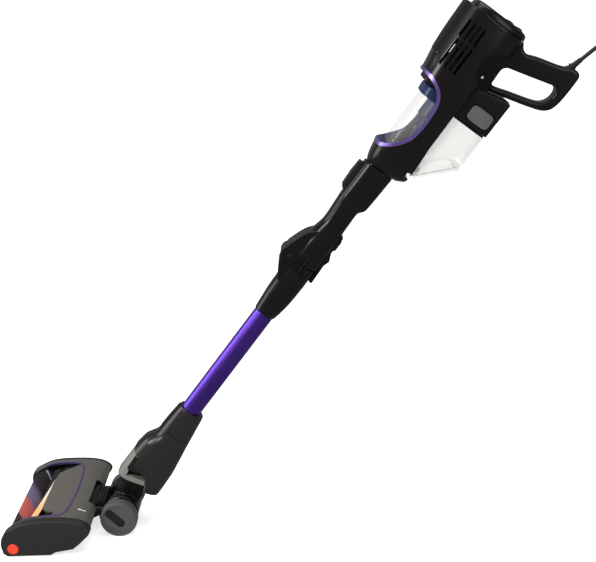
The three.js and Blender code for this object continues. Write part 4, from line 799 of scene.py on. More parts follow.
CUP_HALF, CUP_WALL, CUP_FRONT, CUP_REAR, CUP_TOP, PLATE_TOP = 44.0, 2.2, -17.0, 117.5, 966.5, 986.0
LID_START, LID_END, LID_RIM = np.array((57.0, 838.0)), np.array((118.5, 902.0)), 7.0
LATCH_AT, LATCH_HALF = (85.25, 992.75), (21.25, 13.75)
LID_RUN = float(np.linalg.norm(LID_END - LID_START))
LID_ALONG = (LID_END - LID_START) / LID_RUN


def on_lid(along, up):
    """A point of the lid's side view: start + along * direction + up * its normal."""
    return tuple(LID_START + along * LID_ALONG + up * np.array((-LID_ALONG[1], LID_ALONG[0])))


LID_PIN = on_lid(LID_RUN - 3.6, 4.2)


def plan_column(offset):
    """The cup's plan, a superellipse of power 6 drawn in by an offset, run far up and down."""
    plan = (CUP_FRONT + offset, CUP_REAR - offset, CUP_HALF - offset, 6)
    return loft([(780, *plan), (1100, *plan)], 120, 400)


def cup_outline(offset, over, top):
    """The cup's side view, drawn in by an offset and reaching down to a height over the lid's underside."""
    low, high = on_lid(0, over), on_lid(LID_RUN, over)

    def height(y):
        return low[1] + (y - low[0]) * (high[1] - low[1]) / (high[0] - low[0])

    y0, y1 = LID_START[0] + offset, LID_END[0] - offset
    return [(CUP_FRONT + offset, top), (CUP_FRONT + offset, 864 + offset), (y0, 864 + offset), (y0, height(y0)),
            (y1, height(y1)), (CUP_REAR - 2.5 - offset, top)]


def make_dust_cup():
    """Clear cup: its side outline met with a superellipse column, and the same drawn in by the wall cut out of it.
    The ears of the lid's hinge stand on its lowest edge."""
    over = LID_RIM + 1.6
    outer = meet(slab(cup_outline(0, over, CUP_TOP), (-CUP_HALF, CUP_HALF)), plan_column(0))
    inner = meet(slab(cup_outline(CUP_WALL, over - 12, CUP_TOP + 20), (-FAR, FAR)), plan_column(CUP_WALL))
    ears = [meet(join(crossbar((30.3, CUP_HALF - 3), LID_PIN, 3.4),
                      slab([on_lid(LID_RUN - 7, 4.2), on_lid(LID_RUN - 7, 13), on_lid(LID_RUN - 1, 13),
                            on_lid(LID_RUN - 1, 4.2)], (30.3, CUP_HALF - 1))), plan_column(0))]
    cup = cut(join(cut(outer, inner), *both_sides(*ears)), crossbar((-30.3, 30.3), LID_PIN, 4))
    return put("dust_cup_piece", cup, WAND, finish("clear"), "dust_cup", bevel=0.5)


def make_cup_housing():
    """Cup housing: a rounded wedge run across, hollowed from below, with a pocket each side for its button."""
    line = [(46.8, 971), (46.8, 1026.8), (109, 1041), (114.5, 1037), (114.5, 971)]
    outer = slab(line, (-46, 46), 2.5, 4)
    pocket = both_sides(box((36.5, FAR), *[(at - half - GAP, at + half + GAP)
                                           for at, half in zip(LATCH_AT, LATCH_HALF)]))
    hollow = box((-35, 35), (49.4, 111.9), (960, 1016))
    return put("cup_housing_piece", cut(outer, hollow, *pocket), WAND, finish("gloss"), "cup_housing", bevel=0.4)


def make_latch_button(name, side):
    """Release button: a superellipse pad, power 5, drawn in towards its face over three rings."""
    a = angles(72)
    rows = []
    for x, inset in ((39.8, 0), (46.4, 0), (47.2, 0.5), (47.6, 1.4)):
        y = LATCH_AT[0] + (LATCH_HALF[0] - inset) * signed(np.cos(a), 0.4)
        z = LATCH_AT[1] + (LATCH_HALF[1] - inset) * signed(np.sin(a), 0.4)
        rows.append(np.column_stack([np.full(72, x * side), y, z]))
    return put(name + "_piece", skin(np.array(rows)), WAND, finish("latch"), name)


# ---------------------------------------------------------------- forms of the wand

UPPER_RINGS = [(600.3, -25, 27.5, 27, 2.8), (640, -25.5, 28, 28, 2.8), (658, -24, 27.5, 27, 2.8),
               (690, -18.5, 26, 22.5, 2.8), (729, -20.5, 25, 22.5, 3), (744, -21.5, 34, 24, 3.2),
               (816, -22, 37, 26, 3.2)]
LOWER_RINGS = [(480, -20.8, 20.8, 20.8, 2), (500, -22.3, 24.5, 22.5, 2.3), (527, -24.5, 27, 25, 2.6),
               (562, -25, 27.8, 26.5, 2.8), (599.7, -25, 27.5, 27, 2.8)]
FLEX_PIN, KNUCKLE, KNUCKLE_HALF, KNUCKLE_OUTER = (-30, 600), 16.5, 11.7, 23.0
PIN_RADIUS, PIN_HOLE = 3.45, 3.8
FOLD_ROOM = (-10.5, 24.4, 21, 3)  # front, rear, half width and power of the space that the hose lies in
HOOD_UPPER = [(-16, 664), (-25, 657), (-34, 641), (-40, 624), (-43, 612), (-30, 604), (-16, 606)]
HOOD_LOWER = [(-16, 550), (-24, 555.5), (-33.4, 570), (-40.4, 584), (-36.6, 594), (-16, 594)]
REAR_CATCH = [(24, 603), (28.4, 603), (28.4, 578), (34.6, 578.5), (33, 618), (36.6, 630), (30, 645), (31.5, 679),
              (24, 682)]
RELEASE_LINE = [(-19.4, 752), (-25, 752), (-29.3, 758), (-30.6, 785), (-29.4, 810), (-19.4, 810)]
FLEX_RELEASE_LINE = [(25, 650), (32.5, 650), (33.6, 652), (34, 655), (34, 669), (33.6, 672), (32.5, 674), (25, 674)]


def finger_recess(zs):
    """A shallow recess on each side between two heights, with three upright ribs left standing in it."""
    recess = box((23.6, FAR), (-20, 20), zs)
    ribs = [slab([(y - 1.7, zs[0] - 1), (y + 1.7, zs[0] - 1), (y + 1.7, zs[1] + 1), (y - 1.7, zs[1] + 1)],
                 (20, 26.4), 0.8) for y in (-11, 1, 13)]
    return both_sides(cut(recess, *ribs))


def make_upper_shell():
    """Upper wand shell: superellipse rings with the hood over the fold melted in, then its knuckles, catch, button
    wells and air passage."""
    hood = slab(spline(HOOD_UPPER, 60, True), (-KNUCKLE_OUTER, KNUCKLE_OUTER))
    form = soften(join(loft(UPPER_RINGS, 96, 4), hood), 1.2, 9)
    form = cut(form, box((-FAR, FAR), (-FAR, FAR), (500, 600.3)))
    knuckle = both_sides(crossbar((KNUCKLE_HALF + GAP, KNUCKLE_OUTER), FLEX_PIN, KNUCKLE))
    spigot = rod((0, 0, 814), (0, 0, 848), 19)
    room = loft([(560, *FOLD_ROOM), (662, *FOLD_ROOM)], 64, 200)
    airway = join(rod((0, 4, 655), (0, 0, 700), AIRWAY_RADIUS), rod((0, 0, 698), (0, 0, 900), AIRWAY_RADIUS))
    lower = cut(box((-FAR, FAR), (-FAR, 28.2), (300, 600.3)), crossbar((-24, 24), FLEX_PIN, KNUCKLE + 0.01))
    return put("upper_wand_piece", cut(
        join(cut(form, *finger_recess((598, 613))), spigot, slab(REAR_CATCH, (-13, 13), 1.5), *knuckle),
        room, airway, crossbar((-KNUCKLE_HALF - GAP, KNUCKLE_HALF + GAP), FLEX_PIN, KNUCKLE + 0.6),
        crossbar((-40, 40), FLEX_PIN, PIN_HOLE), box((-8.3, 8.3), (22.7, 60), (649.7, 674.3)),
        box((-9.3, 9.3), (-60, -17), (751.7, 810.3)), lower), WAND, finish("gloss"), "upper_wand_shell", crease=38)


def make_lower_shell():
    """Lower wand shell: rings that go from the round of the tube to the squarer fold, with the lower hood."""
    hood = slab(spline(HOOD_LOWER, 60, True), (-KNUCKLE_OUTER, KNUCKLE_OUTER))
    form = soften(join(loft(LOWER_RINGS, 96, 4), hood), 1.2, 9)
    middle = crossbar((-KNUCKLE_HALF, KNUCKLE_HALF), FLEX_PIN, KNUCKLE)
    room = loft([(556, *FOLD_ROOM), (640, *FOLD_ROOM)], 64, 200)
    above = cut(box((-FAR, FAR), (-FAR, FAR), (599.7, 900)), crossbar((-KNUCKLE_HALF, KNUCKLE_HALF), FLEX_PIN,
                                                                    KNUCKLE + 0.01))
    outer = both_sides(crossbar((KNUCKLE_HALF, KNUCKLE_OUTER + 4), FLEX_PIN, KNUCKLE + 0.6))
    return put("lower_wand_piece", cut(
        join(cut(form, *finger_recess((584, 602))), middle), room, rod((0, 0, 400), (0, 0, 520.3), SOCKET_RADIUS),
        rod((0, 0, 515), (0, 4, 562), AIRWAY_RADIUS), *outer, above, crossbar((-40, 40), FLEX_PIN, PIN_HOLE)),
        WAND, finish("gloss"), "lower_wand_shell", crease=38)


def make_flex_hose():
    """Corrugated hose: radius 13.9 + 1.3 cos(12 turns) along its length, turned about its own line."""
    z = np.linspace(556.3, 661.7, 145)
    wave = 13.9 + 1.3 * np.cos(np.linspace(0, 6 * 4 * np.pi, 145))
    profile = np.vstack([np.column_stack([wave, z]), [(11.8, 661.7), (11.8, 556.3)]])
    return put("flex_hose_piece", turned([*profile, profile[0]], (0, 6)), WAND, finish("rubber"), "flex_hose",
               crease=60)


def make_wand_tube():
    """Anodised tube: a thin-walled ring profile turned about the wand's line."""
    profile = [(17.8, 205), (18.7, 205), (19, 205.3), (19, 519.7), (18.7, 520), (17.8, 520), (17.8, 205)]
    return put("wand_tube_piece", turned(profile, sides=128), WAND, finish("tube"), "wand_tube")


# ---------------------------------------------------------------- forms of the neck

NECK_RINGS = [(49, -40, 43, 26, 3), (62, -44, 47, 32, 3), (107, -43.5, 45.5, 34, 3), (144, -40, 41, 31.5, 2.8),
              (174, -26.5, 36.5, 28, 2.6), (200, -25.5, 33, 26, 2.6), (241, -22.8, 27.5, 23.5, 2.4)]
SWIVEL_TILT = math.radians(16.5)
FORK_FACE, PIPE_TOP = 66.0, 97.0


def on_swivel(along, rear=0):
    """A point on the swivel's axis, so far from the axle and so far to its rear."""
    s, c = math.sin(SWIVEL_TILT), math.cos(SWIVEL_TILT)
    return (AXLE_OFFSET - along * s + rear * c, along * c + rear * s)


def swivel_rod(start, end, radius):
    """A round bar along the swivel's axis, between two distances from the axle."""
    return rod((0, *on_swivel(start)), (0, *on_swivel(end)), radius)


BAR_TOP, LIP_FOOT = 76.0, 88.0
FORK_LINE = np.vstack([[(-70, 118), (-31, 112)], spline([(-30.2, 96), (-29.4, 80), on_swivel(75, -13),
                                                         on_swivel(BAR_TOP, -4), on_swivel(BAR_TOP, 10)], 28),
                       [on_swivel(BAR_TOP, 24), on_swivel(FORK_FACE, 25), on_swivel(FORK_FACE, -70)]])
SHELL_CUT = [(-70, 118.4), (-30.7, 112.4), (-29.6, 88), on_swivel(LIP_FOOT, -8), on_swivel(LIP_FOOT, 17),
             on_swivel(BAR_TOP + GAP, 25.2), (22, 57), (60, 64), (60, 20), (-70, 20)]
NECK_SEAMS = ([(-14.8, 239), (-14.2, 205), (-13, 185)], [(-13, 185), (5, 184.6), (60, 188.5)],
              [(-13, 185), (-21.5, 163), (-30, 140), (-31, 122)])
BRACKET_POCKET = [(-36, 113.4), (-28.5, 109), (-27.5, 97), (-24, 91), (-9, 88.5), (-8, 83.5), (-29, 78), (-35, 81)]


def journal_room():
    """Room for the elbow's pipe and its collar to turn in."""
    return [swivel_rod(54, 100, 20.9), swivel_rod(85.7, 91.3, 23.2)]


def bracket_pocket(x):
    """The corner between the bracket's arm and bar, run across between two values of x."""
    return slab(BRACKET_POCKET, x)


def neck_form(offset=0.0):
    """The neck's skinned rings, drawn in by an offset or, if it is negative, stood proud."""
    return loft(NECK_RINGS, 120, 3, offset)


def make_neck_shell():
    """Neck: superellipse rings from the round of the tube to the broad foot, cut along the swivel bracket, with
    seams sunk 1.4 mm along lines drawn on its side."""
    top = on_swivel(PIPE_TOP - 6)
    airway = join(rod((0, *top), (0, -6, 150), 17), rod((0, -6, 148), (0, 0, 207), 17))
    channel = cut(box((-11.3, 11.3), (-80, 0), (118.7, 178.3)), loft(NECK_RINGS, 96, 4, 4.3))
    button = cut(box((-8.8, 8.8), (-80, 0), (180.7, 237.3)), loft(NECK_RINGS, 96, 4, 3.4))
    form = soften(neck_form(), 1.2, 6)
    core = neck_form(1.4)
    seams = [cut(slab([*beside(line, 0.8), *beside(line, -0.8)[::-1]], (-FAR, FAR)), core) for line in NECK_SEAMS]
    tools = [slab(SHELL_CUT, (-FAR, FAR)), rod((0, 0, 204.7), (0, 0, 400), SOCKET_RADIUS), airway, *journal_room(),
             swivel_rod(30, FORK_FACE, 36), channel, button, *seams, *both_sides(bracket_pocket((25, FAR)))]
    return put("neck_shell_piece", cut(form, *tools), WAND, finish("satin"), "neck_shell", crease=38)


def make_swivel_fork(sizes):
    """Swivel bracket: the neck's own skin within the bracket's line, an arm up the front and a bar across below,
    with a matt black panel sunk in the corner between them on each side: partly the black neck seen there, partly
    painted shade for that corner."""
    form = meet(neck_form(0.4), slab(FORK_LINE, (-FAR, FAR)))
    # Matt black panels in the corner pockets: partly the black neck seen there, partly painted shade for the corner.
    panel = slab(beside(BRACKET_POCKET, 0.2), (24, 25.2))
    for name, mesh in (("bracket_shade_panel_left", panel), ("bracket_shade_panel_right", mirrored(panel))):
        put(name, mesh, WAND, finish("matt"), body=BODY_OF["swivel_fork"])
    return put("swivel_fork_piece", cut(form, *journal_room(), *both_sides(bracket_pocket((25, FAR)))), WAND,
               finish("bracket"), "swivel_fork", bevel=sizes.edge)


def neck_skin(proud, deep, x, z):
    """The front of the neck's skin, from so far proud to so deep, within a half width and between two heights."""
    return meet(cut(neck_form(-proud), neck_form(deep)), box((-x, x), (-80, 0), z))


def make_neck_fittings():
    """Spine and release button: the neck's skin stood proud within a strip down its front."""
    return [put("neck_spine_piece", neck_skin(1.2, 4, 11, (119, 178)), WAND, finish("satin"), "neck_spine", bevel=0.6),
            put("nozzle_release_piece", neck_skin(2, 0.6, 8.5, (181, 237)), WAND, finish("matt"),
                "nozzle_release_button", bevel=0.8)]


def make_elbow():
    """Elbow: a barrel turned about the axle, the swivel pipe standing on it and the skirt between, melted together."""
    at = (AXLE_OFFSET, 0)
    barrel = turned([(0, -36.4), (29.5, -36.4), (32.5, -33.4), (32.5, 33.4), (29.5, 36.4), (0, 36.4), (0, -36.4)], at,
                    96, True)
    skirt = slab([(24, 22), on_swivel(40, 29), on_swivel(60, 26), on_swivel(60, 4), (-2, 22)], (-22, 22), 3)
    form = soften(join(barrel, swivel_rod(10, 65.7, 24.5), skirt), 1.2, 6)
    form = join(form, swivel_rod(62, PIPE_TOP, 20.5), swivel_rod(86, 91, 22.8))
    bore = cut(swivel_rod(20, 140, 16.5), crossbar((-60, 60), at, 12))
    mouth = cut(slab([(-40, -12), (-40, 14), (0, 14), (0, -12)], (-19, 19)), crossbar((-60, 60), at, 12),
                box((-60, 60), (AXLE_OFFSET - 2, 60), (-60, 60)))
    return put("pivot_elbow_piece", cut(form, bore, mouth, crossbar((-60, 60), at, 4.3)), WAND, finish("gloss"),
               "pivot_elbow", crease=38)


# ---------------------------------------------------------------- forms of the floor head

HEAD_HALF, PLATE, BAY_X = 130.0, 8.4, 112.0
SOFT_AXIS, SOFT_RADIUS = (-175, 27.5), 26.5
BRUSH_AXIS, BRUSH_RADIUS = (-117.5, 25.5), 19.0
SIDE_LINE = [(-198, 2.5), (-205, 8), (-208, 24), (-206, 38), (-198, 51), (-186, 58), (-160, 68.5), (-113, 71.5),
             (-66, 67), (-48, 58), (-42, 47), (-62, 24), (-76, 13), (-108, 8), (-118, 2.5)]
COVER_LINE = spline([(-197, 51), (-186, 58), (-160, 68.5), (-136, 71), (-113, 71.5), (-88, 70), (-66, 67), (-50, 59.5),
                     (-44, 50)], 64)
WINDOW_PLAN = np.vstack([[(-109, -240)], spline([(-109, -175), (-108.5, -130), (-104, -99), (-90, -90.5),
                                                 (-60, -86.5), (0, -84), (60, -86.5), (90, -90.5), (104, -99),
                                                 (108.5, -130), (109, -175)], 90), [(109, -240)]])
COVER_X = (-121.3, BAY_X - GAP)
HEAD_HIGH = (-50, 200)  # from below the floor to above the head
BUTTON_AT, BUTTON_RADIUS = (-186, 18), 10.2


def cover_layer(raised, thick, x):
    """The skin between the cover's side line, raised by a distance, and the same line lower down."""
    return slab([*beside(COVER_LINE, raised), *beside(COVER_LINE, raised - thick)[::-1]], x)


def make_head_cover():
    """Cover: its side line run across the head with a thickness, cut out round the window and the neck."""
    notch = box((-44.9, 44.9), (-58, 0), (0, 200))
    cover = cut(cover_layer(0, 3, COVER_X), column(WINDOW_PLAN, HEAD_HIGH), notch, crossbar((-60, 60), (0, 35), 34.5))
    return put("head_cover_piece", cover, FLOOR, finish("head"), "head_cover", bevel=0.8)


def make_cover_trim():
    """Trim: a band beside the window's outline, met with the cover's layer stood 0.8 mm proud."""
    band = column([*beside(WINDOW_PLAN, -GAP), *beside(WINDOW_PLAN, -3)[::-1]], HEAD_HIGH)
    return put("cover_trim_piece", meet(cover_layer(0.8, 3.8, COVER_X), band, box((-FAR, FAR), (-172, 0), (0, 200))),
               FLOOR, finish("trim"), "cover_trim", bevel=0.35)


def make_inner_cover():
    """Inner cover: the cover's layer a little lower, within the trim, met with its own plan, and the pale strip in
    front of it, which widens from one end of the roller to the other."""
    plan = column(beside(WINDOW_PLAN, -3.3), HEAD_HIGH)
    front = column([(-130, -70), (-101, -98), (-66, -135), (-30, -139), (70, -139), (86, -131), (91, -113), (130, -128),
                    (130, 0), (-130, 0)], HEAD_HIGH)
    put("inner_cover_piece", meet(cover_layer(-1.2, 2.6, COVER_X), plan, front), FLOOR, finish("inner"), "inner_cover",
        bevel=0.5)
    strip = column([(-42, -139.6), (-42, -140.6), (0, -144), (40, -148), (108, -156), (108, -144), (70, -139.6)],
                   HEAD_HIGH)
    return put("comb_strip", meet(cover_layer(-3.9, 1.6, COVER_X), strip), FLOOR, finish("comb"),
               body=BODY_OF["roller_comb"], bevel=0.3)


def make_side_plates():
    """Side plates: the head's smoothed side outline run across, rounded along its rim; the left one holds the
    belts in a bay and has the hole of the roller's button."""
    line = np.vstack([[SIDE_LINE[0]], spline(SIDE_LINE[1:12], 90), SIDE_LINE[12:]])
    pins = [crossbar((HEAD_HALF - 12, HEAD_HALF - 4.5), at, 4.3) for at in (SOFT_AXIS, BRUSH_AXIS)]
    bay = slab([(-196, 10), (-201, 24), (-194, 46), (-158, 62.5), (-113, 65.5), (-68, 61), (-50, 50), (-66, 28),
                (-80, 18), (-108, 13), (-122, 8)], (BAY_X - 5, HEAD_HALF - PLATE))
    left = cut(slab(line, (BAY_X, HEAD_HALF), 1.8, 4), bay, *pins,
               crossbar((HEAD_HALF - 4, FAR), BUTTON_AT, BUTTON_RADIUS + GAP))
    right = cut(slab(line, (-HEAD_HALF, -HEAD_HALF + PLATE), 1.8, 4), *[mirrored(pin) for pin in pins])
    return [put("side_plate_left_piece", left, FLOOR, finish("side"), "side_plate_left"),
            put("side_plate_right_piece", right, FLOOR, finish("side"), "side_plate_right")]


def make_roller_button():
    """Disc with a rounded rim and a shallow dish, turned about its own line."""
    r = BUTTON_RADIUS
    profile = [(0, 128), (r, 128), (r, 130.4), (r - 0.3, 130.9), (r - 0.9, 131.3), (r - 1.6, 131.4), (7.4, 131.2),
               (6.6, 130.2), (4, 129.7), (0, 129.5), (0, 128)]
    return put("roller_button_piece", turned(profile, BUTTON_AT, 72, True), FLOOR, finish("button"), "roller_button")


def make_soft_roller():
    """Soft roller: a round sleeve whose pile stands in tufts: radius 26.05 + 0.45 sin(9 a + 0.99 x) about its axis,
    rounded off over the last 4 mm at each end."""
    x = np.linspace(-117, 110, 190)
    a = angles(144)
    edge = np.clip(np.minimum(x - x[0], x[-1] - x) / 4, 0, 1)
    body = SOFT_RADIUS - 3 + 3 * np.sqrt(1 - (1 - edge) ** 2)
    tuft = -0.45 + 0.45 * np.sin(9 * a[None, :] + 0.11 * x[:, None] * 9)
    radius = body[:, None] + tuft * edge[:, None]
    outer = np.stack([np.broadcast_to(x[:, None], radius.shape), SOFT_AXIS[0] + radius * np.cos(a),
                      SOFT_AXIS[1] + radius * np.sin(a)], -1)
    across, bore = np.broadcast_to(x[[-1, 0]][:, None], (2, 144)), 10.3
    inner = np.stack([across, SOFT_AXIS[0] + bore * np.cos(a) + 0 * across,
                      SOFT_AXIS[1] + bore * np.sin(a) + 0 * across], -1)
    return put("soft_roller_piece", skin(np.concatenate([outer, inner]), ring=True), FLOOR, finish("plush"),
               "soft_roller_sleeve", crease=50)


def make_wheel(name, side):
    """Rear wheel: a rim and a dished face turned about the axle, with a round-ended slot sunk slantwise into it and
    a matt black sheet lying in the slot, painted shade for the slot's depth."""
    profile = [(4.2, 47.5), (33.8, 47.5), (35, 48.7), (35, 63.6), (34.4, 65.6), (33, 67), (31, 67.5), (29.2, 66.9),
               (28.4, 65.9), (20, 65.5), (4.2, 65.1), (4.2, 47.5)]
    wheel = turned(profile, (0, WHEEL_RADIUS), 120, True)
    ends = np.array([(-16, WHEEL_RADIUS + 13), (3, WHEEL_RADIUS - 7)])
    angle = math.degrees(math.atan2(*(ends[1] - ends[0])[::-1]))
    line = np.vstack([arc(ends[1], 8.5, angle - 90, angle + 90, 20), arc(ends[0], 8.5, angle + 90, angle + 270, 20)])
    mesh = cut(wheel, slab(line, (61.5, 80)))
    # A matt black sheet lying in the slot: painted shade for the slot's depth.
    cap = cut(slab(beside(line, 0.25), (61.6, 65.0)), crossbar((40, 64.7), (0, WHEEL_RADIUS), 4.6))
    put(name + "_cap", cap if side > 0 else mirrored(cap), FLOOR, finish("matt"), body=BODY_OF[name])
    return put(name + "_piece", mesh if side > 0 else mirrored(mesh), FLOOR, finish("wheel"), name, bevel=0.4)


def make_head_duct():
    """Duct: a rectangular rubber duct, ribbed in its rear part, hollow from end to end, with a round seat for the
    elbow's barrel."""
    tube_part = box((-22, 22), (-88, -24), (22.3, 48.7))
    ribs = [slab([(y, 18), (y + 2.4, 18), (y + 2.4, 56), (y, 56)], (-28, 28)) for y in (-44, -39, -34)]
    mesh = cut(join(tube_part, *ribs), box((-19, 19), (-100, 0), (25.5, 45.5)), crossbar((-60, 60), (0, 35), 33.7))
    return put("head_duct_piece", mesh, FLOOR, finish("rubber"), "head_duct", bevel=0.5)


# ---------------------------------------------------------------- cord

CORD_ROUTE = [(0, 853.2, 851.2), (0, 865, 860.5), *((0, y, z) for y, z in arc((896.8, 844.7), 32, 128, 0, 14)),
              (-1.5, 928.8, 820), (-6, 928.8, 780), (-16, 928.8, 700), (-24, 928.8, 560), (-31, 929, 420),
              (-38, 930, 280), (-43, 931.6, 160), (-45.3, 932.8, 90), (-45.5, 933.4, 52),
              *((x, y, z) for (x, z), y in zip(arc((-13.5, 35.5), 32, 180, 262, 9), np.linspace(933.8, 936.8, 9)))]
CORD_STEP = 7  # from one turn's line to the next, and from one layer to the next
COIL_MIDDLE = (0, 1013.5)
COIL_RADII = (49, 56, 63, 70, 77)
COIL_LAYERS, TURN_POINTS = 4, 30
PLUG_TAIL = (26.7, 1069.5, 34.3)
PLUG_BEND = 33


def plug_lead():
    """The cord's last bend, 70 degrees of a circle, that rises to the plug's tail."""
    line = arc((PLUG_TAIL[0], PLUG_TAIL[1] - PLUG_BEND), PLUG_BEND, 20, 90, 9)
    return np.column_stack([line, np.linspace(31.8, PLUG_TAIL[2], 9)])


def coil_turns():
    """The coil's line: turns that step from one radius to the next over part of each turn, wound inwards, then
    outwards one layer up, then in and out again: point = middle + r(a) (cos a, sin a), z by layer. The end then climbs
    onto the top layer over a third of a turn."""
    points = []
    angle = math.radians(-95)
    last_turn, top_layer = len(COIL_RADII) - 1, COIL_LAYERS - 1
    for layer in range(COIL_LAYERS):
        order = COIL_RADII[::-1] if layer % 2 == 0 else COIL_RADII
        z = 3.5 + CORD_STEP * layer
        for n, radius in enumerate(order):
            target = order[n + 1] if n < last_turn else radius
            rise = z + CORD_STEP if n == last_turn and layer < top_layer else z
            t = np.arange(TURN_POINTS) / TURN_POINTS
            ease = np.clip((t - 0.72) / 0.28, 0, 1)
            ease = ease * ease * (3 - 2 * ease)
            a = angle + 2 * np.pi * t
            r = radius + (target - radius) * ease
            points.append(np.column_stack([COIL_MIDDLE[0] + r * np.cos(a), COIL_MIDDLE[1] + r * np.sin(a),
                                           z + (rise - z) * ease]))
            angle += 2 * np.pi
    t = np.arange(14) / 13
    ease = t * t * (3 - 2 * t)
    a = angle + math.radians(115) * t
    r = COIL_RADII[-1] - 11 * ease
    points.append(np.column_stack([COIL_MIDDLE[0] + r * np.cos(a), COIL_MIDDLE[1] + r * np.sin(a),
                                   z + CORD_STEP * ease]))
    return np.vstack(points)


def make_cord(sizes):
    """Cord: one round-section curve through the route's points, then the coil, then up to the plug's tail."""
    points = np.vstack([CORD_ROUTE, coil_turns(), plug_lead()])
    curve = bpy.data.curves.new("cord_line", "CURVE")
    curve.dimensions = "3D"
    curve.bevel_depth = sizes.cord / 2
    curve.bevel_resolution = 5
    line = curve.splines.new("NURBS")
    placed = np.array([FLOOR @ Vector(point) for point in points])
    line.points.add(len(placed) - 1)
    line.points.foreach_set("co", np.column_stack([placed, np.ones(len(placed))]).ravel())
    line.order_u = 3
    line.resolution_u = 3
    line.use_endpoint_u = True
    cord = bpy.data.objects.new("mains_cord", curve)
    bpy.context.scene.collection.objects.link(cord)
    curve.materials.append(finish("cord"))
    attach(cord, BODY_OF["power_cord"])
    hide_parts("power_cord", "cord_coil")
    make_plug()
    make_cord_tie()
    make_strain_relief()
    return cord


def make_plug():
    """Plug: superellipse sections carried along its length, drawn in to a ribbed tail, with two steel blades."""
    tail_x, middle = PLUG_TAIL[:2]
    nose_x = tail_x - 46
    s = np.linspace(0, 1, 60)
    x = tail_x + 1 + (nose_x - tail_x - 1) * s
    a = angles(48)
    tail = 1 - np.clip((s - 0.02) / 0.38, 0, 1)
    tail = tail * tail * (3 - 2 * tail)
    nose = np.sqrt(1 - np.clip((s - 0.93) / 0.07, 0, 1) ** 2 * 0.35)
    rib = 0.35 * tail * np.cos(s * 100)
    half = (11.8 * (1 - tail) + 4.6 * tail) * nose + rib
    tall = (7.7 * (1 - tail) + 4.6 * tail) * nose + rib
    high = 36.2 - 1.9 * tail
    grid = np.stack([np.broadcast_to(x[:, None], (60, 48)), middle + half[:, None] * signed(np.cos(a), 0.6),
                     high[:, None] + tall[:, None] * signed(np.sin(a), 0.6)], -1)
    blades = [box((nose_x - 16, nose_x + 2), (middle + d - 0.8, middle + d + 0.8), (33, 39.4)) for d in (-6.3, 6.3)]
    plug = put("mains_plug_piece", skin(grid), FLOOR, finish("rubber"), "mains_plug")
    return [plug, put("plug_blades", join(*blades), FLOOR, finish("steel"), body=BODY_OF["mains_plug"], bevel=0.3)]


def make_cord_tie():
    """Tie: a thin strap carried round the coil's section at one place, a superellipse of power 8 in radius and
    height."""
    t = angles(72)
    u, v = signed(np.cos(t), 0.25), signed(np.sin(t), 0.25)
    place = math.radians(200)
    rows = []
    for thick, across in ((0, -6), (0.8, -6), (0.8, 6), (0, 6)):
        r, z = COIL_RADII[2] + (17.6 + thick) * u, 14.4 + (13.6 + thick) * v
        rows.append(np.column_stack([COIL_MIDDLE[0] + r * math.cos(place) - across * math.sin(place),
                                     COIL_MIDDLE[1] + r * math.sin(place) + across * math.cos(place), z]))
    return put("cord_tie", skin(np.stack(rows, 1), ring=True), FLOOR, finish("felt_black"), body=BODY_OF["cord_coil"])


def make_strain_relief():
    """Strain relief: a round bar from the grip's end that turns up and tapers to the cord; radius = taper from 6.1
    to 4.5, flared where it leaves the grip, less the grooves of its segments, 0.5 where the cosine of 9 turns is
    low."""
    path = spline([GLAND_FOOT, GLAND_KNEE, (168.6, 1155), GLAND_TIP], 90)
    run = np.linspace(0, 1, 90)
    taper = np.where(run < 0.3, 6.1, 6.1 - 1.6 * (run - 0.3) / 0.7)
    flare = np.where(run > 0.3, 2.6 * np.exp(-((run - 0.3) / 0.16) ** 2), 0)
    groove = 0.5 * (np.cos(18 * np.pi * run) < -0.2) * (run > 0.5) * (run < 0.95)
    mesh = tube(np.column_stack([np.zeros(90), path]), taper + flare - groove, 40)
    return put("strain_relief_piece", mesh, WAND, finish("rubber"), "strain_relief")


# ---------------------------------------------------------------- inside the cup and the motor housing

COLLAR_Y, FUNNEL_Y = 24.0, 29.0
FUNNEL_FOOT, FUNNEL_TOP = 890.0, 916.7
FAN_Y = -5.0


def make_cup_lid():
    """Lid: a plate along the cup's slanting foot, sunk to a tray inside its rim, with its knuckle and catch."""
    plate = slab([on_lid(0, 0), on_lid(0, LID_RIM), on_lid(LID_RUN - 3.6, LID_RIM), on_lid(LID_RUN - 3.6, 0)],
                 (-FAR, FAR))
    tray = slab([on_lid(LID_RIM, 2.6), on_lid(LID_RIM, 20), on_lid(LID_RUN - 10, 20), on_lid(LID_RUN - 10, 2.6)],
                (-CUP_HALF + 4, CUP_HALF - 4))
    ears = both_sides(join(crossbar((30, FAR), LID_PIN, 4), slab([on_lid(LID_RUN - 8, 3), on_lid(LID_RUN - 8, 20),
                                                                  on_lid(LID_RUN + 9, 20), on_lid(LID_RUN + 9, 3)],
                                                                 (30, FAR))))
    lid = meet(cut(plate, tray, *ears), plan_column(0.2))
    lid = cut(join(lid, crossbar((-30, 30), LID_PIN, 3.4)), crossbar((-FAR, FAR), LID_PIN, 1.6))
    put("cup_lid_piece", lid, WAND, finish("clear"), "cup_lid", bevel=0.4)
    return dressed("lid_seal", finish("seal"), 0.2)


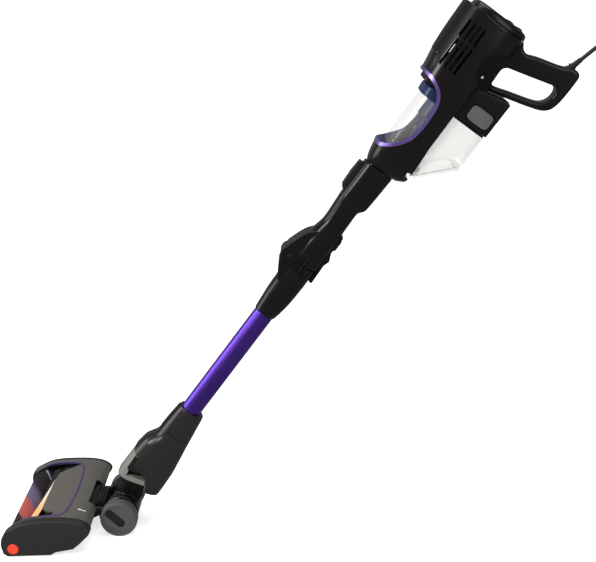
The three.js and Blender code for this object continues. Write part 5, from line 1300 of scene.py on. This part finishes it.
def make_cyclone():
    """Separator and shroud: a dark plate with a collar and a stepped tail below it, and under them a funnel of fine
    upright slats, its radius drawn in downwards and waved by 0.45 cos(40 a), that stands on a small foot."""
    plan = [(CUP_TOP + GAP, -19.5, 45, 45, 5), (PLATE_TOP - 4, -20.5, 45, 45, 5), (PLATE_TOP - 1, -18, 44.4, 43.4, 5),
            (PLATE_TOP, -14, 43, 41, 5)]
    tail = meet(box((-41, 41), (40, CUP_REAR - 4), (CUP_TOP + GAP, CUP_TOP + 3.5)), plan_column(2))
    put("separator_tail", cut(tail, box((-FAR, FAR), (0, 45.5), (900, 1000))), WAND, finish("gloss"),
        body=BODY_OF["cup_separator"], bevel=0.4)
    plate = cut(join(loft(plan, 120, 2), rod((0, COLLAR_Y, 936), (0, COLLAR_Y, CUP_TOP + 4), 22.5, 96)),
                rod((0, COLLAR_Y, 900), (0, COLLAR_Y, PLATE_TOP + 10), 18, 96))
    step = cut(rod((0, FUNNEL_Y, 917), (0, FUNNEL_Y, 937), 19.5, 96),
               rod((0, FUNNEL_Y, 900), (0, FUNNEL_Y, 950), 16, 96))
    put("cup_separator_piece", join(plate, step), WAND, finish("navy"), "cup_separator", bevel=0.5)
    a = angles(320)
    z = np.array([FUNNEL_FOOT, 893, 903, 912, FUNNEL_TOP])
    outer = np.interp(z, [FUNNEL_FOOT, FUNNEL_TOP], [12, 17.4])[:, None] + 0.45 * np.cos(40 * a)
    wall = np.interp(z, [FUNNEL_FOOT, FUNNEL_TOP], [10.6, 16])[::-1, None] + 0 * a
    rows = np.vstack([outer, wall])
    height = np.concatenate([z, z[::-1]])[:, None] + 0 * a
    shroud = skin(np.stack([rows * np.cos(a), FUNNEL_Y + rows * np.sin(a), height], -1), ring=True)
    foot = rod((0, FUNNEL_Y, 884), (0, FUNNEL_Y, 889.7), 14.5)
    put("shroud_foot", foot, WAND, finish("navy"), body=BODY_OF["mesh_shroud"], bevel=0.8)
    return put("mesh_shroud_piece", shroud, WAND, finish("shroud"), "mesh_shroud", crease=70)


def make_motor():
    """Everything inside the motor housing: the plate, motor, fan, pleated filter and circuit board, and a thin matt
    black sleeve turned about the fan's axis that darkens the view through the vents: painted shade."""
    for node, key, bevel in (("motor_mount", "matt", 0.4), ("motor_stator", "winding", 0.3), ("impeller", "matt", 0.15),
                             ("exhaust_filter", "felt", 0.3), ("circuit_board", "board", 0.15)):
        dressed(node, finish(key), bevel)
    # A matt black sleeve behind the vents: painted shade that darkens the view through them.
    profile = [(27.2, 1063.6), (28.6, 1063.6), (28.6, 1127), (27.2, 1127), (27.2, 1063.6)]
    put("vent_shade_sleeve", turned(profile, (0, FAN_Y)), WAND, finish("matt"), body=BODY_OF["motor_mount"])


# ---------------------------------------------------------------- small parts of the wand and the head

# Place and facing of the pale dot beside the handle, which is a painted highlight.
GLINT_AT, GLINT_OUT = (21.0, 50.7, 1047.0), (1, 0, 0)
DASH_AT, DASH_OUT = (80, -63.5, 66.4), (0, 0.37, 0.93)


def make_fold_fittings():
    """Release buttons and the pin of the fold: the pads are their side outlines run across with rounded edges."""
    put("wand_release_piece", slab(RELEASE_LINE, (-9, 9)), WAND, finish("matt"), "wand_release_button", bevel=1.1)
    flex = slab(FLEX_RELEASE_LINE, (-8, 8))
    put("flex_release_piece", flex, WAND, finish("matt"), "flex_release_button", bevel=0.9)
    return put("hinge_pin_piece", crossbar((-KNUCKLE_OUTER, KNUCKLE_OUTER), FLEX_PIN, PIN_RADIUS), WAND, finish("matt"),
               "hinge_pin", bevel=0.3)


def tufts(starts, ends, radius, tip, sides=6):
    """Many tapered bristles as one mesh: a ring of points about each start and each end, square to the bristle."""
    start, end = np.asarray(starts, float), np.asarray(ends, float)
    way = end - start
    way /= np.linalg.norm(way, axis=1)[:, None]
    first = np.cross(way, np.where(np.abs(way[:, :1]) < 0.9, (1.0, 0, 0), (0, 1.0, 0)))
    first /= np.linalg.norm(first, axis=1)[:, None]
    second = np.cross(way, first)
    a = angles(sides)
    round_ = np.cos(a)[None, :, None] * first[:, None] + np.sin(a)[None, :, None] * second[:, None]
    grid = np.stack([start[:, None] + radius * round_, end[:, None] + tip * round_], 1)
    base = np.arange(len(start))[:, None] * 2 * sides
    i = np.arange(sides)
    quads = np.stack([base + i, base + (i + 1) % sides, base + sides + (i + 1) % sides, base + sides + i], -1)
    caps = [(base + i[::-1]).tolist(), (base + sides + i).tolist()]
    return solid(grid.reshape(-1, 3), quads.reshape(-1, 4).tolist() + caps[0] + caps[1])


def make_brush_roll():
    """Brush roll: a turned core with its belt wheel, and four helical rows of bristles at angle a0 + 0.0054 x."""
    core = turned([(0, -124.8), (4, -124.8), (4, -117), (19, -117), (19, 108), (5, 108), (5, 113.2), (12, 113.2),
                   (12, 120), (4, 120), (4, 124.8), (0, 124.8)], BRUSH_AXIS, 72, True)
    x = np.linspace(-104, 100, 58)
    starts, ends = [], []
    for row in (0, 0.5, 1, 1.5):
        a = row * np.pi + 0.0054 * x
        for points, radius in ((starts, 18.6), (ends, BRUSH_RADIUS + 4.4)):
            points.append(np.column_stack([x, BRUSH_AXIS[0] + radius * np.cos(a), BRUSH_AXIS[1] + radius * np.sin(a)]))
    put("brush_roll_piece", core, FLOOR, finish("matt"), "brush_roll", bevel=0.4)
    return put("brush_bristles", tufts(np.vstack(starts), np.vstack(ends), 1.25, 0.9), FLOOR, finish("bristle"),
               body=BODY_OF["brush_roll"])


def make_drive():
    """Brush motor, its belt wheel, both belts and the core of the soft roller."""
    for node, key, bevel in (("brush_motor", "steel", 0.4), ("motor_pulley", "matt", 0.2),
                             ("drive_belt", "rubber", 0.2), ("front_belt", "rubber", 0.2),
                             ("soft_roller_core", "matt", 0.2)):
        dressed(node, finish(key), bevel)


def make_head_base():
    """Chassis and comb of the head, with their edges eased."""
    dressed("head_base", finish("matt"), 0.5)
    return dressed("roller_comb", finish("matt"), 0.3)


def make_small_wheels():
    """Axle, sole wheels and sole strip: a steel bar, and narrow wheels turned about their own line."""
    put("rear_axle_piece", crossbar((-64.5, 64.5), (0, WHEEL_RADIUS), 4), FLOOR, finish("steel"), "rear_axle",
        bevel=0.4)
    for name, x in (("sole_wheel_left", 72), ("sole_wheel_right", -72)):
        profile = [(0, x - 7.6), (2, x - 7.6), (2, x - 4.6), (5.4, x - 4.6), (6.4, x - 4.1), (7, x - 3), (7, x + 3),
                   (6.4, x + 4.1), (5.4, x + 4.6), (2, x + 4.6), (2, x + 7.6), (0, x + 7.6)]
        put(name + "_piece", turned(profile, (-84, 7), 48, True), FLOOR, finish("rubber"), name)
    return dressed("sole_strip", finish("felt"), 0.3)


def make_marks():
    """A pale dot beside the handle, a painted highlight, and the pale dash by the head's window: domed pads, squarish
    in outline.
    """
    a = angles(48)

    def pad(centre, first, second, out, half):
        """A pad about a centre, spread along two directions by its half sizes and domed outwards."""
        rows = []
        for scale, rise in ((1, -0.6), (1, 0.1), (0.86, 0.34), (0.5, 0.45)):
            u = half[0] * scale * signed(np.cos(a), 0.7)
            v = half[1] * scale * signed(np.sin(a), 0.7)
            rows.append(np.asarray(centre) + u[:, None] * np.asarray(first) + v[:, None] * np.asarray(second)
                        + rise * np.asarray(out))
        return skin(np.array(rows))

    # The pale dot beside the handle: a painted highlight, not a lamp.
    put("painted_glint", pad(GLINT_AT, (0, 1, 0), (0, 0, 1), GLINT_OUT, (2.2, 2.2)), WAND, finish("dot"),
        body=BODY_OF["body_left"])
    return put("cover_dash", pad(DASH_AT, (0, 0.93, -0.37), (1, 0, 0), DASH_OUT, (8, 1.1)), FLOOR, finish("dot"),
               body=BODY_OF["head_cover"])


# ---------------------------------------------------------------- stage


def make_camera():
    """Camera: it looks from the left of the machine, a little down, at a point beside the wand."""
    pitch, yaw, roll = math.radians(17.84), math.radians(-1.23), math.radians(2.44)
    forward = Vector((-math.cos(pitch) * math.cos(yaw), math.cos(pitch) * math.sin(yaw), -math.sin(pitch)))
    side = Vector((math.sin(yaw), math.cos(yaw), 0))
    top = side.cross(forward)
    right = math.cos(roll) * side - math.sin(roll) * top
    up = math.sin(roll) * side + math.cos(roll) * top
    target = Vector((0, AXLE[1] + 0.3558, 0.47394))
    distance = 2.0197
    turn = Matrix((right, up, -forward)).transposed().to_4x4()
    data = bpy.data.cameras.new("camera")
    data.sensor_fit, data.sensor_width, data.lens = "HORIZONTAL", 36.0, 67.269866
    data.clip_end = 100
    camera = bpy.data.objects.new("camera", data)
    camera.matrix_world = Matrix.Translation(target - distance * forward) @ turn
    bpy.context.scene.collection.objects.link(camera)
    bpy.context.scene.camera = camera
    return camera


def lamp(name, at, target, size, power):
    """A rectangular soft light at a point, facing another."""
    data = bpy.data.lights.new(name, "AREA")
    data.shape, data.size, data.size_y = "RECTANGLE", *size
    data.energy = power
    light = bpy.data.objects.new(name, data)
    way = Vector(target) - Vector(at)
    light.matrix_world = Matrix.Translation(at) @ way.to_track_quat("-Z", "Y").to_matrix().to_4x4()
    bpy.context.scene.collection.objects.link(light)
    return light


def make_stage():
    """Stage: a pale floor that runs far back and glows, as painted light, dimmer near the machine, soft boxes at both
    sides and above, and a dim even sky.
    """
    world = bpy.data.worlds.new("studio")
    bpy.context.scene.world = world
    world.use_nodes = True
    sky = world.node_tree.nodes["Background"]
    sky.inputs["Color"].default_value, sky.inputs["Strength"].default_value = (1, 1, 1, 1), 0.2
    f = Finish("pale_floor", roughness=0.9, specular_ior_level=0.1, emission_strength=1.0)
    # The floor glows: painted light, dimmer within 1.2 m of the middle and full white from 4.5 m out.
    far = f.node("ShaderNodeVectorMath", {"operation": "LENGTH"}, {0: f.place}, 1).between(1.2, 4.5)
    f.set(base_color=f.blend(f.noise(3, 2) * 0.3, (0.93, 0.93, 0.93, 1), (0.96, 0.96, 0.96, 1)),
          emission_color=f.blend(far, (0.72, 0.72, 0.72, 1), (1, 1, 1, 1)))
    floor = bpy.data.objects.new("floor", column([(-30, -30), (30, -30), (30, 30), (-30, 30)], (-0.02, 0)))
    floor.data.materials.append(f.material)
    floor.visible_glossy = False
    bpy.context.scene.collection.objects.link(floor)
    lamp("key_light", (1.6, -1.9, 2.3), (0, 0, 0.5), (1.0, 1.8), 80)
    lamp("front_light", (-0.2, -2.7, 1.4), (0, 0, 0.5), (1.7, 1.6), 34)
    lamp("side_light", (2.6, 1.5, 1.5), (0, 0.1, 0.5), (0.6, 1.8), 9)
    lamp("top_light", (-0.2, 0.2, 2.9), (0, 0, 0.4), (2.2, 2.2), 45)
    bpy.context.scene.view_settings.view_transform = "Standard"
    return floor


# ---------------------------------------------------------------- operators and panel


def sizes_of(context):
    """The sizes set on the panel."""
    return context.scene.vacuum_sizes


class VACUUM_OT_stage(bpy.types.Operator):
    """Camera, floor and soft studio lights"""
    bl_idname = "vacuum.stage"
    bl_label = "Stage"

    def execute(self, context):
        make_camera()
        make_stage()
        return {"FINISHED"}


class VACUUM_OT_cord(bpy.types.Operator):
    """Mains cord with its coil, plug and strain relief"""
    bl_idname = "vacuum.cord"
    bl_label = "Mains cord"

    def execute(self, context):
        make_cord(sizes_of(context))
        return {"FINISHED"}


class VACUUM_OT_body(bpy.types.Operator):
    """Hand unit body with its D handle and the liner of its bay, and the marks on it"""
    bl_idname = "vacuum.body"
    bl_label = "Hand unit body"

    def execute(self, context):
        make_hand_body(sizes_of(context))
        make_bay_liner()
        make_marks()
        return {"FINISHED"}


class VACUUM_OT_trim(bpy.types.Operator):
    """Metallic trim round the cup's window"""
    bl_idname = "vacuum.trim"
    bl_label = "Window trim"

    def execute(self, context):
        make_window_trim(sizes_of(context))
        return {"FINISHED"}


class VACUUM_OT_housing_covers(bpy.types.Operator):
    """Filter cover and top cap of the motor housing, with its two rockers"""
    bl_idname = "vacuum.housing_covers"
    bl_label = "Filter cover and cap"

    def execute(self, context):
        make_filter_cover(sizes_of(context))
        make_top_cap()
        make_cap_button("power_button", BUTTON_SPANS[0])
        make_cap_button("mode_button", BUTTON_SPANS[1])
        return {"FINISHED"}


class VACUUM_OT_motor(bpy.types.Operator):
    """Suction motor, fan, exhaust filter and circuit board"""
    bl_idname = "vacuum.motor"
    bl_label = "Motor"

    def execute(self, context):
        make_motor()
        return {"FINISHED"}


class VACUUM_OT_dust_cup(bpy.types.Operator):
    """Clear dust cup and its hinged lid"""
    bl_idname = "vacuum.dust_cup"
    bl_label = "Dust cup and lid"

    def execute(self, context):
        make_dust_cup()
        make_cup_lid()
        return {"FINISHED"}


class VACUUM_OT_cup_housing(bpy.types.Operator):
    """Cup housing with its foam filter and two release buttons"""
    bl_idname = "vacuum.cup_housing"
    bl_label = "Cup housing"

    def execute(self, context):
        make_cup_housing()
        make_latch_button("latch_button_left", 1)
        make_latch_button("latch_button_right", -1)
        dressed("foam_filter", finish("foam"), 1.2)
        return {"FINISHED"}


class VACUUM_OT_cyclone(bpy.types.Operator):
    """Separator and shroud inside the cup"""
    bl_idname = "vacuum.cyclone"
    bl_label = "Separator and shroud"

    def execute(self, context):
        make_cyclone()
        return {"FINISHED"}


class VACUUM_OT_wand_shells(bpy.types.Operator):
    """Upper and lower shells of the folding wand"""
    bl_idname = "vacuum.wand_shells"
    bl_label = "Wand shells"

    def execute(self, context):
        make_upper_shell()
        make_lower_shell()
        return {"FINISHED"}


class VACUUM_OT_fold(bpy.types.Operator):
    """Hose, pin and release buttons of the fold"""
    bl_idname = "vacuum.fold"
    bl_label = "Fold"

    def execute(self, context):
        make_flex_hose()
        make_fold_fittings()
        return {"FINISHED"}


class VACUUM_OT_tube(bpy.types.Operator):
    """Anodised wand tube"""
    bl_idname = "vacuum.tube"
    bl_label = "Wand tube"

    def execute(self, context):
        make_wand_tube()
        return {"FINISHED"}


class VACUUM_OT_neck(bpy.types.Operator):
    """Neck over the floor head, with its spine and release button"""
    bl_idname = "vacuum.neck"
    bl_label = "Neck"

    def execute(self, context):
        make_neck_shell()
        make_neck_fittings()
        return {"FINISHED"}


class VACUUM_OT_swivel(bpy.types.Operator):
    """Swivel bracket and elbow"""
    bl_idname = "vacuum.swivel"
    bl_label = "Swivel"

    def execute(self, context):
        make_swivel_fork(sizes_of(context))
        make_elbow()
        return {"FINISHED"}


class VACUUM_OT_head_cover(bpy.types.Operator):
    """Cover of the floor head with its window, trim and side plates"""
    bl_idname = "vacuum.head_cover"
    bl_label = "Head cover"

    def execute(self, context):
        make_head_cover()
        make_cover_trim()
        make_inner_cover()
        make_side_plates()
        make_roller_button()
        return {"FINISHED"}


class VACUUM_OT_head_base(bpy.types.Operator):
    """Chassis, comb and duct of the floor head"""
    bl_idname = "vacuum.head_base"
    bl_label = "Head chassis"

    def execute(self, context):
        make_head_base()
        make_head_duct()
        return {"FINISHED"}


class VACUUM_OT_rollers(bpy.types.Operator):
    """Soft roller, brush roll and what drives them"""
    bl_idname = "vacuum.rollers"
    bl_label = "Rollers and drive"

    def execute(self, context):
        make_soft_roller()
        make_brush_roll()
        make_drive()
        return {"FINISHED"}


class VACUUM_OT_wheels(bpy.types.Operator):
    """Rear wheels, sole wheels, axle and sole strip"""
    bl_idname = "vacuum.wheels"
    bl_label = "Wheels"

    def execute(self, context):
        make_wheel("rear_wheel_left", 1)
        make_wheel("rear_wheel_right", -1)
        make_small_wheels()
        return {"FINISHED"}


OPERATORS = (VACUUM_OT_stage, VACUUM_OT_cord, VACUUM_OT_body, VACUUM_OT_trim, VACUUM_OT_housing_covers, VACUUM_OT_motor,
             VACUUM_OT_dust_cup, VACUUM_OT_cup_housing, VACUUM_OT_cyclone, VACUUM_OT_wand_shells, VACUUM_OT_fold,
             VACUUM_OT_tube, VACUUM_OT_neck, VACUUM_OT_swivel, VACUUM_OT_head_cover, VACUUM_OT_head_base,
             VACUUM_OT_rollers, VACUUM_OT_wheels)


class VACUUM_PT_panel(bpy.types.Panel):
    """Sizes, colours and makers of the vacuum's pieces"""
    bl_idname = "VACUUM_PT_panel"
    bl_label = "Stick vacuum"
    bl_space_type = "VIEW_3D"
    bl_region_type = "UI"
    bl_category = "Vacuum"

    def draw(self, context):
        for group in (context.scene.vacuum_sizes, context.scene.vacuum_colours):
            box_of = self.layout.box()
            for name in group.__annotations__:
                box_of.prop(group, name)
        for operator in OPERATORS:
            self.layout.operator(operator.bl_idname)


CLASSES = (VacuumSizes, VacuumColours, *OPERATORS, VACUUM_PT_panel)


def register():
    """Adds the properties, the operators and the panel."""
    for item in CLASSES:
        bpy.utils.register_class(item)
    bpy.types.Scene.vacuum_sizes = PointerProperty(type=VacuumSizes)
    bpy.types.Scene.vacuum_colours = PointerProperty(type=VacuumColours)


def unregister():
    """Takes them away again, last first."""
    del bpy.types.Scene.vacuum_colours
    del bpy.types.Scene.vacuum_sizes
    for item in reversed(CLASSES):
        bpy.utils.unregister_class(item)


def main():
    """Makes every piece in the operators' order."""
    register()
    for operator in OPERATORS:
        getattr(bpy.ops.vacuum, operator.bl_idname.split(".")[1])()


if __name__ == "__main__":
    main()
